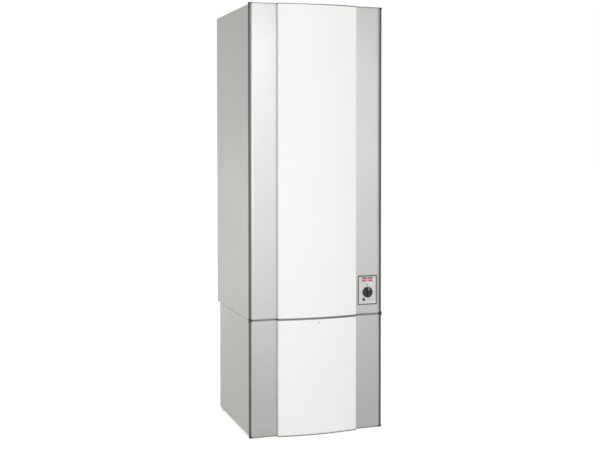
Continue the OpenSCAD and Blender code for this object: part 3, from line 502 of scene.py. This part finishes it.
# Finishes by the record's material slots
FINISH = {
    "white_enamel": enamel("white_enamel", srgb(241, 241.5, 238), 0.5),
    "silver_paint": silver("silver_lacquer", srgb(156.5, 158, 155), 0.36),
    "trim_grey": moulded("trim_grey", srgb(72, 73, 68), 0.42, grain=1400.0, depth=0.03 * MM),
    "cap_black": moulded("cap_black", srgb(44, 45, 42), 0.45),
    "zinc_sheet": galvanised("zinc_sheet", srgb(176, 179, 182)),
    "frame_steel": powder_coat("frame_grey", srgb(120, 123, 125), 0.5),
    "foam": poured_foam("pu_foam", srgb(228, 204, 132)),
    "tank_enamel": enamel("tank_primer", srgb(38, 60, 92), 0.3),
    "machined_steel": machined("machined_steel", srgb(196, 196, 194), 0.3),
    "rubber_black": moulded("rubber_black", srgb(32, 32, 32), 0.7, grain=1500.0),
    "element_metal": oxidised("element_sheath", srgb(112, 108, 104)),
    "magnesium": machined("magnesium", srgb(190, 192, 196), 0.5),
    "copper": copper("copper_tube", srgb(190, 112, 80)),
    "brass": cast_brass("cast_brass", srgb(196, 160, 92)),
    "black_plastic": moulded("black_plastic", srgb(34, 34, 35), 0.5),
    "grey_plastic": moulded("grey_plastic", srgb(150, 152, 154), 0.5),
    "cable_sheath": moulded("cable_sheath", srgb(44, 44, 46), 0.6, grain=2200.0),
    "fascia_grey": moulded("fascia_print", srgb(204, 204, 201), 0.45, grain=2600.0, depth=0.02 * MM),
    "display_lens": moulded("display_lens", srgb(226, 160, 158), 0.2, grain=60.0, depth=0.01 * MM),
    "knob_charcoal": moulded("knob_charcoal", srgb(24, 24, 25), 0.38, grain=1800.0, depth=0.03 * MM,
                             Specular_IOR_Level=0.35),
    "lever_red": dipped("lever_red", srgb(176, 26, 20)),
}

# Finishes of single pieces
END_TRIM_FINISH = silver("end_trim_satin", srgb(116, 117, 113), 0.32)
RIM_FINISH = moulded("bezel_grey", srgb(88, 92, 87), 0.35, grain=1600.0, depth=0.03 * MM)
LARGE_DIGIT_FINISH = moulded("led_bright", srgb(92, 0, 10), 0.6, grain=900.0, depth=0.01 * MM)
SMALL_DIGIT_FINISH = moulded("led_dark", srgb(48, 0, 4), 0.6, grain=900.0, depth=0.01 * MM)
PRINT_FINISH = moulded("print_grey", srgb(92, 94, 94), 0.55, grain=2500.0, depth=0.01 * MM)
POINTER_FINISH = moulded("pointer_white", srgb(228, 228, 224), 0.4, grain=1800.0, depth=0.02 * MM)
BUTTON_FINISH = moulded("button_dark", srgb(30, 30, 30), 0.35, grain=1800.0, depth=0.03 * MM)
SCREW_FINISH = machined("screw_plated", srgb(206, 205, 200), 0.28)
# Side and top panels: the strips' silver lacquer with its own greener tint, made darker as painted
# shade of the sides turned away from the front lamps
SIDE_SHADED_FINISH = silver("silver_side_shaded", srgb(150, 151.5, 145), 0.4)
FOOT_FINISH = moulded("foot_nylon", srgb(214, 214, 210), 0.5, grain=900.0, depth=0.03 * MM)


# Mesh helpers
def to_mesh(name, bm):
    bmesh.ops.remove_doubles(bm, verts=bm.verts, dist=SAME_POINT)
    bmesh.ops.recalc_face_normals(bm, faces=bm.faces)
    mesh = bpy.data.meshes.new(name)
    bm.to_mesh(mesh)
    bm.free()
    return mesh


def cut(mesh, cutters):
    """Mesh minus the cutters, each a bmesh."""
    work = bpy.data.objects.new("work", mesh)
    bpy.context.scene.collection.objects.link(work)
    tools = []
    for bm in cutters:
        tool = bpy.data.objects.new("tool", to_mesh("tool", bm))
        bpy.context.scene.collection.objects.link(tool)
        tools.append(tool)
        boolean = work.modifiers.new("cut", "BOOLEAN")
        boolean.object = tool
        boolean.operation = "DIFFERENCE"
        boolean.solver = "EXACT"
    bpy.context.view_layer.update()
    graph = bpy.context.evaluated_depsgraph_get()
    result = bpy.data.meshes.new_from_object(work.evaluated_get(graph))
    for obj in [work] + tools:
        bpy.data.objects.remove(obj)
    return result


def add_piece(name, bm, body, slot, nodes=(), finish=None, holes=()):
    """Makes a piece of a bmesh less its holes, gives it its finish, and lets it ride on its body."""
    mesh = to_mesh(name, bm)
    if holes:
        mesh = cut(mesh, holes)
    obj = bpy.data.objects.new(name, mesh)
    bpy.context.scene.collection.objects.link(obj)
    mesh.materials.clear()
    mesh.materials.append(finish or FINISH[slot])
    mesh.shade_smooth()
    mesh.set_sharp_from_angle(angle=math.radians(SHARP_FROM))
    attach(obj, body)
    if nodes:
        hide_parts(*nodes)
    return obj


def even(obj, keep_sharp=True):
    """Lets large flat faces keep their own normals beside narrow bends."""
    normals = obj.modifiers.new("normals", "WEIGHTED_NORMAL")
    normals.keep_sharp = keep_sharp
    normals.weight = FLAT_FACE_WEIGHT


def soften(obj, width, segments, angle=BEVEL_FROM):
    """Rounds the sharp edges of a piece."""
    bevel = obj.modifiers.new("round", "BEVEL")
    bevel.width = width
    bevel.segments = segments
    bevel.limit_method = "ANGLE"
    bevel.angle_limit = math.radians(angle)
    bevel.use_clamp_overlap = True
    bevel.harden_normals = False
    even(obj, False)


def soften_cad(node, width):
    """Rounds the sharp edges of a CAD node, whose faces come as separate patches."""
    weld = NODES[node].modifiers.new("weld", "WELD")
    weld.merge_threshold = WELD_DISTANCE
    soften(NODES[node], width, segments=2, angle=CAD_BEVEL_FROM)


def round_corners(points, steps=6):
    """Points are (x, y) or (x, y, radius); each radius becomes an arc."""
    out = []
    for i, p in enumerate(points):
        if len(p) == 2 or p[2] <= 0:
            out.append((p[0], p[1]))
            continue
        corner = Vector(p[:2])
        before = (Vector(points[i - 1][:2]) - corner).normalized()
        after = (Vector(points[(i + 1) % len(points)][:2]) - corner).normalized()
        half = before.angle(after) / 2
        reach = p[2] / math.tan(half)
        middle = corner + (before + after).normalized() * (p[2] / math.sin(half))
        first = corner + before * reach - middle
        last = corner + after * reach - middle
        sweep = first.angle_signed(last)
        for k in range(steps + 1):
            q = middle + Matrix.Rotation(-sweep * k / steps, 2) @ first
            out.append((q.x, q.y))
    return out


def sheet_outline(path):
    """Closed outline of bent sheet whose outer face follows path, with its metal on the left."""
    outer = round_corners(path)
    inner = []
    for i, p in enumerate(outer):
        before = Vector(outer[max(i - 1, 0)])
        after = Vector(outer[min(i + 1, len(outer) - 1)])
        along = (after - before).normalized()
        inner.append((p[0] - along.y * SHEET, p[1] + along.x * SHEET))
    return outer + inner[::-1]


def rounded_rect(x, z, w, h, r, steps=6):
    """Outline in X and Z about a middle."""
    path = [(x + i * w / 2, z + j * h / 2, r) for i, j in ((-1, -1), (1, -1), (1, 1), (-1, 1))]
    return round_corners(path, steps)


def prism(bm, outline, low, high, axis, side=1):
    """Extrudes a closed outline between two places along Y or Z; side -1 mirrors it in X."""
    def at(p, v):
        if axis == "Z":
            return (p[0] * side, p[1], v)
        return (p[0] * side, v, p[1])
    ends = [[bm.verts.new(at(p, v)) for p in outline] for v in (low, high)]
    n = len(outline)
    for i in range(n):
        j = (i + 1) % n
        bm.faces.new((ends[0][i], ends[0][j], ends[1][j], ends[1][i]))
    bm.faces.new(ends[0][::-1])
    bm.faces.new(ends[1])


def column(outline, low, high, axis, side=1):
    """A new bmesh of one prism."""
    bm = bmesh.new()
    prism(bm, outline, low, high, axis, side)
    return bm


def turned(profile, centre, axis="Y", steps=64):
    """A new bmesh that turns a profile of (radius, along) about an axis through centre."""
    bm = bmesh.new()
    rings = []
    for r, along in profile:
        ring = []
        for k in range(1 if r == 0 else steps):
            a = 2 * math.pi * k / steps
            u, v = r * math.cos(a), r * math.sin(a)
            offset = (u, along, v) if axis == "Y" else (u, v, along)
            ring.append(bm.verts.new(Vector(centre) + Vector(offset)))
        rings.append(ring)
    for a, b in zip(rings, rings[1:]):
        for k in range(steps):
            j = (k + 1) % steps
            corners = [a[k % len(a)], a[j % len(a)], b[j % len(b)], b[k % len(b)]]
            bm.faces.new(list(dict.fromkeys(corners)))
    return bm


def rod(radius, place, front, back):
    """A new bmesh of one rod along Y, at a place in X and Z."""
    profile = [(0, front), (radius, front), (radius, back), (0, back)]
    return turned(profile, (place[0], 0, place[1]))


def merged(parts):
    """A new bmesh of all the parts, which are freed."""
    bm = bmesh.new()
    for part in parts:
        mesh = bpy.data.meshes.new("part")
        part.to_mesh(mesh)
        part.free()
        bm.from_mesh(mesh)
        bpy.data.meshes.remove(mesh)
    return bm


def ring_stack(loops):
    """A new bmesh that skins closed loops of equal length and joins the last to the first."""
    bm = bmesh.new()
    rows = [[bm.verts.new(p) for p in loop] for loop in loops]
    for a, b in zip(rows, rows[1:] + rows[:1]):
        for i in range(len(a)):
            j = (i + 1) % len(a)
            bm.faces.new((a[i], a[j], b[j], b[i]))
    return bm


def edge_points(radius, face, edge):
    """Profile points of an edge given as pairs of inset from the radius and depth below the face."""
    return [(radius - inset, face + depth) for inset, depth in edge]


def printed_text(text, size, x, z):
    """A new bmesh of upright print centred on x and z."""
    curve = bpy.data.curves.new("label", "FONT")
    curve.body = text
    curve.size = size
    curve.align_x = "CENTER"
    curve.align_y = "CENTER"
    curve.extrude = (PRINT_Y[1] - PRINT_Y[0]) / 2
    obj = bpy.data.objects.new("label", curve)
    bpy.context.scene.collection.objects.link(obj)
    bpy.context.view_layer.update()
    mesh = bpy.data.meshes.new_from_object(obj.evaluated_get(bpy.context.evaluated_depsgraph_get()))
    bpy.data.objects.remove(obj)
    bm = bmesh.new()
    bm.from_mesh(mesh)
    place = Matrix.Translation((x, (PRINT_Y[0] + PRINT_Y[1]) / 2, z))
    bm.transform(place @ Matrix.Rotation(math.pi / 2, 4, "X"))
    return bm


# Front
def bow_arc(half, edge_y, rise, steps=64):
    """Points of the bowed front from -half to half."""
    r = (half * half + rise * rise) / (2 * rise)
    middle = edge_y - rise + r
    sweep = math.asin(half / r)
    angles = [sweep * (2 * k / steps - 1) for k in range(steps + 1)]
    return [(r * math.sin(a), middle - r * math.cos(a)) for a in angles]


def make_white(name, node, holes=()):
    """Bowed white panel of bent sheet."""
    lo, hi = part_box(node)
    turned_in = WHITE_X - TURN_IN
    arc = bow_arc(WHITE_X, STRIP_Y - STEP, BOW)
    path = [(-turned_in, hi.y), (-WHITE_X, hi.y, BEND), (*arc[0], WHITE_R)] + arc[1:-1]
    path += [(*arc[-1], WHITE_R), (WHITE_X, hi.y, BEND), (turned_in, hi.y)]
    skin = column(sheet_outline(path), lo.z, hi.z, "Z")
    even(add_piece(name, skin, NODES[node]["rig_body"], "white_enamel", [node], holes=holes))


def strip(lo, hi, side, steps=12):
    """Strip on one side between the heights of a box, back to the box's rear."""
    back = hi.y
    path = [(INNER_X + TURN_IN, back), (INNER_X, back, BEND), (INNER_X, STRIP_Y, INNER_BEND)]
    depth = min(ROLL_DEPTH, back - STRIP_Y - WALL_LEAST)
    for k in range(steps + 1):
        turn = math.pi / 2 * k / steps
        x = TRIM_X - ROLL_W * (1 - math.sin(turn))
        path.append((x, STRIP_Y + depth * (1 - math.cos(turn))))
    path.append((TRIM_X, back))
    return column(sheet_outline(path), lo.z, hi.z, "Z", side)


def make_strips():
    opening = rounded_rect(*HOUSING, HOUSING_W + 2 * HOUSING_GAP, HOUSING_H + 2 * HOUSING_GAP,
                           HOUSING_OPENING_R)
    hole = column(opening, STRIP_Y - OVERRUN, STRIP_Y + HOUSING_CUT, "Y")
    for node, side, holes in (("upper_left_strip", -1, []), ("upper_right_strip", 1, [hole])):
        skin = strip(*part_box(node), side)
        even(add_piece(node + "_skin", skin, "cabinet", "silver_paint", [node], holes=holes))
    pair = merged([strip(*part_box("lower_strips"), side) for side in (-1, 1)])
    even(add_piece("lower_strips_skin", pair, "front_cover", "silver_paint", ["lower_strips"]))


def make_trims(prefix, node, body):
    """Two upright edge trims, and two end trims that follow the bow."""
    lo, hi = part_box(node)
    edge_face = STRIP_Y + EDGE_RECESS
    edge = round_corners([(TRIM_X, edge_face, EDGE_INNER_R), (HALF_W, edge_face, EDGE_OUTER_R),
                          (HALF_W, hi.y), (TRIM_X, hi.y)])
    edges = merged([column(edge, lo.z + CAP_H, hi.z - CAP_H, "Z", side) for side in (-1, 1)])
    even(add_piece(prefix + "_edge_trims", edges, body, "trim_grey", [node]))
    end_face = STRIP_Y - END_PROUD
    half = WHITE_X + END_PROUD
    path = [(-CAP_X, hi.y), (-CAP_X, end_face), (-half, end_face)]
    path += bow_arc(half, STRIP_Y - STEP, BOW + END_PROUD)
    path += [(half, end_face), (CAP_X, end_face), (CAP_X, hi.y)]
    ends = merged([column(path, z, z + END_T, "Z") for z in (lo.z, hi.z - END_T)])
    soften(add_piece(prefix + "_end_trims", ends, body, "trim_grey", [node], END_TRIM_FINISH),
           END_ROUND, segments=3)


def make_caps(prefix, node, body, proud_low, proud_high):
    """Four L-shaped corner caps; the lower and the upper pair may stand out of the edge trims."""
    lo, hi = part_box(node)
    parts = []
    for side in (-1, 1):
        for base, away, proud in ((lo.z, 1, proud_low), (hi.z, -1, proud_high)):
            corner = [(CAP_X, base), (HALF_W + proud, base), (HALF_W + proud, base + away * CAP_H),
                      (TRIM_X, base + away * CAP_H), (TRIM_X, base + away * END_T),
                      (CAP_X, base + away * END_T)]
            parts.append(column(corner, STRIP_Y - END_PROUD, hi.y, "Y", side))
    soften(add_piece(prefix + "_caps", merged(parts), body, "cap_black", [node]), CAP_ROUND,
           segments=4)


# Control panel
def make_rim():
    bar = (PANEL_W - FASCIA_W) / 2
    face = panel_lo.y

    def loop(inset, y):
        r = max(RIM_R - inset, RIM_R_LEAST)
        outline = rounded_rect(*PANEL, PANEL_W - 2 * inset, PANEL_H - 2 * inset, r)
        return [(x, y, z) for x, z in outline]

    loops = [loop(0, STRIP_Y), loop(0, face + RIM_ROUND), loop(RIM_NIP, face + RIM_NIP),
             loop(RIM_ROUND, face), loop(bar - RIM_SLOPE, face),
             loop(bar - RIM_SLOPE_NIP, face + RIM_NIP), loop(bar, fascia_lo.y + RIM_NIP),
             loop(bar, panel_hi.y), loop(RIM_BACK, panel_hi.y), loop(RIM_BACK, STRIP_Y)]
    even(add_piece("control_bezel", ring_stack(loops), "cabinet", "trim_grey", ["control_frame"],
                   RIM_FINISH))


def make_fascia():
    """Fascia with openings for the lens, the knob's spindle and the button, and the lens."""
    face = column(rounded_rect(*FASCIA, FASCIA_W, FASCIA_H, FASCIA_R), fascia_lo.y, fascia_hi.y, "Y")
    front, back = fascia_lo.y - OVERRUN, fascia_hi.y + OVERRUN
    opening = rounded_rect(*LENS, LENS_W + 2 * LENS_GAP, LENS_H + 2 * LENS_GAP, LENS_HOLE_R)
    holes = [column(opening, front, back, "Y"), rod(SPINDLE_HOLE_R, KNOB, front, back),
             rod(BUTTON_HOLE_R, BUTTON, front, back)]
    add_piece("control_face", face, "cabinet", "fascia_grey", ["control_fascia"], holes=holes)
    lens = column(rounded_rect(*LENS, LENS_W, LENS_H, LENS_R), lens_lo.y, lens_hi.y, "Y")
    soften(add_piece("display_lens", lens, "cabinet", "display_lens", ["display_window"]),
           LENS_ROUND, segments=2)


def segment(bm, x0, z0, x1, z1, half):
    """One bar with pointed ends, flat on X or on Z."""
    along = Vector((x1 - x0, z1 - z0)).normalized()
    side = Vector((-along.y, along.x)) * half
    first = Vector((x0, z0)) + along * half * SEGMENT_GAP_SHARE
    last = Vector((x1, z1)) - along * half * SEGMENT_GAP_SHARE
    tip = along * half
    outline = [first, first + tip - side, last - tip - side, last, last - tip + side,
               first + tip + side]
    prism(bm, [(p.x, p.y) for p in outline], *LIT_Y, "Y")


def digit_row(numbers, z, w, h, pitch, half):
    """A new bmesh of seven-segment numbers, with bars of twice the given half width."""
    bm = bmesh.new()
    for start, text in numbers:
        left, low = PANEL[0] + start, PANEL[1] + z
        waist, high = low + h / 2, low + h
        for mark in text:
            right = left + w
            bars = {"a": (left, high, right, high), "b": (right, waist, right, high),
                    "c": (right, low, right, waist), "d": (left, low, right, low),
                    "e": (left, low, left, waist), "f": (left, waist, left, high),
                    "g": (left, waist, right, waist)}
            for name in SEGMENTS[mark]:
                segment(bm, *bars[name], half)
            left += pitch
    return bm


def make_digits():
    """Two rows of numbers, with a square lamp between those of the small row."""
    add_piece("display_digits_large", digit_row(LARGE_NUMBERS, **LARGE_DIGITS), "cabinet",
              "display_lens", finish=LARGE_DIGIT_FINISH)
    small = digit_row(SMALL_NUMBERS, **SMALL_DIGITS)
    lamp = rounded_rect(PANEL[0] + LAMP[0], PANEL[1] + LAMP[1], LAMP_W, LAMP_W, LAMP_R, steps=3)
    prism(small, lamp, *LIT_Y, "Y")
    add_piece("display_digits_small", small, "cabinet", "display_lens", finish=SMALL_DIGIT_FINISH)


def make_scale():
    """Printed dial scale with plain numbers, a thick tick over the knob, and the plain lines."""
    parts = []
    for k in range(-MARKS_EACH_SIDE, MARKS_EACH_SIDE + 1):
        half = TOP_MARK_HALF if k == 0 else MARK_HALF
        outer = LONG_MARK_R if k % 2 == 0 else SHORT_MARK_R
        mark = column([(-half, MARK_R), (half, MARK_R), (half, outer), (-half, outer)], *PRINT_Y, "Y")
        turn = Matrix.Rotation(MARK_TURN * k, 4, "Y")
        mark.transform(Matrix.Translation((KNOB[0], 0, KNOB[1])) @ turn)
        parts.append(mark)
    for k, text in SCALE_NUMBERS:
        x = KNOB[0] + NUMBER_REACH_X * math.sin(MARK_TURN * k)
        z = KNOB[1] + NUMBER_REACH_Z * math.cos(MARK_TURN * k)
        parts.append(printed_text(text, NUMBER_SIZE, x, z))
    tick = rounded_rect(KNOB[0], KNOB[1] + TICK_RISE, TICK_W, TICK_H, TICK_R, steps=3)
    parts.append(column(tick, *PRINT_Y, "Y"))
    for k in range(LINES):
        z = PANEL[1] - LINE_DROP - LINE_PITCH * k
        line = rounded_rect(PANEL[0] + LINE_X, z, LINE_W, LINE_H, LINE_R, steps=2)
        parts.append(column(line, *PRINT_Y, "Y"))
    add_piece("dial_scale", merged(parts), "cabinet", "fascia_grey", finish=PRINT_FINISH)


def make_knob():
    """Flared knob with a grip left between two scoops, and its pointer."""
    front, back = knob_lo.y, fascia_lo.y - KNOB_GAP
    skirt = [(inset, share * (back - front)) for inset, share in KNOB_SKIRT_SHARES]
    profile = [(0, front)] + edge_points(KNOB_R, front, KNOB_EDGE)
    profile += edge_points(KNOB_R, front, skirt)
    profile += [(KNOB_R, back - KNOB_BACK_UP), (KNOB_R - KNOB_BACK_IN, back), (0, back)]
    body = turned(profile, (KNOB[0], 0, KNOB[1]), steps=96)
    low, high = KNOB[1] - SCOOP_REACH, KNOB[1] + SCOOP_REACH
    scoop = [(0, low), (SCOOP_R, low), (SCOOP_R, high), (0, high)]
    scoops = [turned(scoop, (KNOB[0] + side * (GRIP_HALF + SCOOP_R), front, 0), axis="Z")
              for side in (-1, 1)]
    knob = add_piece("knob_body", body, "knob", "knob_charcoal", ["thermostat_knob"], holes=scoops)
    soften(knob, KNOB_ROUND, segments=3, angle=KNOB_BEVEL_FROM)
    mark = rounded_rect(KNOB[0], KNOB[1] + POINTER_RISE, POINTER_W, POINTER_H, POINTER_R, steps=3)
    pointer = column(mark, front - POINTER_PROUD, front + POINTER_DEPTH, "Y")
    add_piece("knob_pointer", pointer, "knob", "knob_charcoal", finish=POINTER_FINISH)


def make_button():
    face = button_lo.y
    back = face + BUTTON_LENGTH
    profile = [(BUTTON_R * across, face + BUTTON_DISH * down) for across, down in BUTTON_DISH_SHARES]
    profile += edge_points(BUTTON_R, face, BUTTON_EDGE) + [(BUTTON_R, back), (0, back)]
    cap = turned(profile, (BUTTON[0], 0, BUTTON[1]))
    add_piece("button_cap", cap, "button", "knob_charcoal", ["reset_button"], BUTTON_FINISH)


def make_screw():
    """Captive screw; its slot's cutter is longer than its head is wide."""
    face, tip = screw_lo.y, screw_hi.y
    under_head = face + SCREW_HEAD_T
    profile = [(0, face), (SCREW_R * SCREW_CROWN_SHARE, face + SCREW_CROWN)]
    profile += edge_points(SCREW_R, face, SCREW_EDGE)
    profile += [(SCREW_R, under_head), (SHANK_R, under_head), (SHANK_R, tip - SHANK_TIP),
                (SHANK_TIP_R, tip), (0, tip)]
    body = turned(profile, (SCREW[0], 0, SCREW[1]), steps=40)
    outline = rounded_rect(*SCREW, SLOT_LENGTH, SLOT_W, SLOT_R, steps=2)
    slot = column(outline, face - OVERRUN, face + SLOT_DEPTH, "Y")
    add_piece("captive_screw", body, "screw", "machined_steel", ["cover_screw"], SCREW_FINISH, [slot])


# Assembly: finishes of the CAD nodes by the record's slots, then the finer pieces
make_camera()
bpy.context.scene.view_settings.view_transform = "Standard"

for part in frame["record"]["subparts"]:
    mesh = NODES[part["node"]].data
    mesh.materials.clear()
    is_foot = part["node"].startswith("foot_")
    mesh.materials.append(FOOT_FINISH if is_foot else FINISH[part["material_slot"]])

screw_hole = rod(SCREW_HOLE_R, (0, SCREW[1]), low_white_lo.y - OVERRUN, STRIP_Y - STEP)
make_white("upper_white_skin", "upper_white_panel")
make_white("lower_white_skin", "lower_white_panel", [screw_hole])
make_strips()
make_trims("upper", "upper_trims", "cabinet")
make_trims("lower", "lower_trims", "front_cover")
make_caps("upper", "upper_corner_caps", "cabinet", CAP_PROUD, 0)
make_caps("lower", "lower_corner_caps", "front_cover", 0, CAP_PROUD)
make_rim()
make_fascia()
make_digits()
make_scale()
make_knob()
make_button()
make_screw()

# Side and top panels take the darker silver, whose darkness is painted shade, and get softened edges
for node in ("upper_left_side_panel", "upper_right_side_panel", "lower_left_side_panel",
             "lower_right_side_panel", "top_panel"):
    NODES[node].data.materials[0] = SIDE_SHADED_FINISH
    soften_cad(node, SIDE_ROUND)

# Stage and light
FLOOR_HALF = 30
FLOOR_GLOW = 0.62
FLOOR_COLOR = srgb(225, 225, 225)
WHITE = (1, 1, 1, 1)
BACKDROP = 1.0
AMBIENT = 0.6
MIDDLE = (0, -0.2, 1.0)
SIDE_MIDDLE = (-0.3, 0, 0.9)
PLAIN = (1.0, 1.0, 1.0)
COOL = (0.985, 0.975, 1.0)
COLD = (0.955, 0.962, 1.0)
COLD_FROM = 2.0

# Soft boxes in columns: place in X and Y, aim, size and colour, then each box's height and power
COLUMNS = (
    ("front", (0.5, -4.3), MIDDLE, (1.0, 0.8), COOL,
     ((0.4, 7.2), (1.2, 3.2), (2.0, 19.4), (2.8, 4.2))),
    ("right", (1.8, -4.1), MIDDLE, (1.0, 0.9), COOL, ((0.6, 3.8), (1.5, 6.6))),
    ("key", (-0.8, -4.6), MIDDLE, (0.9, 0.9), COOL, ((1.0, 20.6), (2.0, 6.8))),
    ("left", (-3.1, -1.0), SIDE_MIDDLE, (1.2, 1.0), PLAIN, ((0.8, 15.5),)),
    ("rear", (-2.3, 3.2), SIDE_MIDDLE, (1.4, 0.6), PLAIN, ((0.3, 3.4), (1.0, 3.5), (1.7, 1.0))),
)


def seen_directly(tree):
    """Output that is 1 for camera, glossy and transmission rays, and 0 for other light."""
    path = tree.nodes.new("ShaderNodeLightPath")
    seen = path.outputs["Is Camera Ray"]
    for label in ("Is Glossy Ray", "Is Transmission Ray"):
        either = tree.nodes.new("ShaderNodeMath")
        either.operation = "MAXIMUM"
        tree.links.new(seen, either.inputs[0])
        tree.links.new(path.outputs[label], either.inputs[1])
        seen = either.outputs[0]
    return seen


def mix_by_ray(tree, unseen, seen, kind):
    """Ends a node tree in one shader for what is seen and another for all other light."""
    mix = tree.nodes.new("ShaderNodeMixShader")
    tree.links.new(seen_directly(tree), mix.inputs[0])
    tree.links.new(unseen, mix.inputs[1])
    tree.links.new(seen, mix.inputs[2])
    end = tree.nodes.new(kind)
    tree.links.new(mix.outputs[0], end.inputs[0])


def make_floor():
    bm = bmesh.new()
    for x, y in ((-1, -1), (1, -1), (1, 1), (-1, 1)):
        bm.verts.new((x * FLOOR_HALF, y * FLOOR_HALF, 0))
    bm.faces.new(bm.verts)
    mesh = bpy.data.meshes.new("floor")
    bm.to_mesh(mesh)
    bm.free()
    floor = bpy.data.objects.new("floor", mesh)
    bpy.context.scene.collection.objects.link(floor)
    material = bpy.data.materials.new("floor_white")
    material.use_nodes = True
    tree = material.node_tree
    tree.nodes.clear()
    diffuse = tree.nodes.new("ShaderNodeBsdfDiffuse")
    diffuse.inputs["Color"].default_value = FLOOR_COLOR
    glow = tree.nodes.new("ShaderNodeEmission")
    glow.inputs["Strength"].default_value = FLOOR_GLOW
    lit = tree.nodes.new("ShaderNodeAddShader")
    tree.links.new(diffuse.outputs[0], lit.inputs[0])
    tree.links.new(glow.outputs[0], lit.inputs[1])
    mix_by_ray(tree, diffuse.outputs[0], lit.outputs[0], "ShaderNodeOutputMaterial")
    mesh.materials.append(material)


def background(tree, strength):
    node = tree.nodes.new("ShaderNodeBackground")
    node.inputs["Color"].default_value = WHITE
    node.inputs["Strength"].default_value = strength
    return node.outputs[0]


def make_world():
    world = bpy.data.worlds.new("studio")
    bpy.context.scene.world = world
    world.use_nodes = True
    tree = world.node_tree
    tree.nodes.clear()
    mix_by_ray(tree, background(tree, AMBIENT), background(tree, BACKDROP), "ShaderNodeOutputWorld")


def area_light(name, place, target, size, power, color):
    data = bpy.data.lights.new(name, "AREA")
    data.shape = "RECTANGLE"
    data.size, data.size_y = size
    data.energy = power
    data.color = color
    light = bpy.data.objects.new(name, data)
    bpy.context.scene.collection.objects.link(light)
    light.location = place
    aim = Vector(target) - Vector(place)
    light.rotation_euler = aim.to_track_quat("-Z", "Y").to_euler()


make_floor()
make_world()
for name, place, target, size, color, boxes in COLUMNS:
    for k, (height, power) in enumerate(boxes):
        tint = COLD if height >= COLD_FROM else color
        area_light("%s_%d" % (name, k), (*place, height), target, size, power, tint)
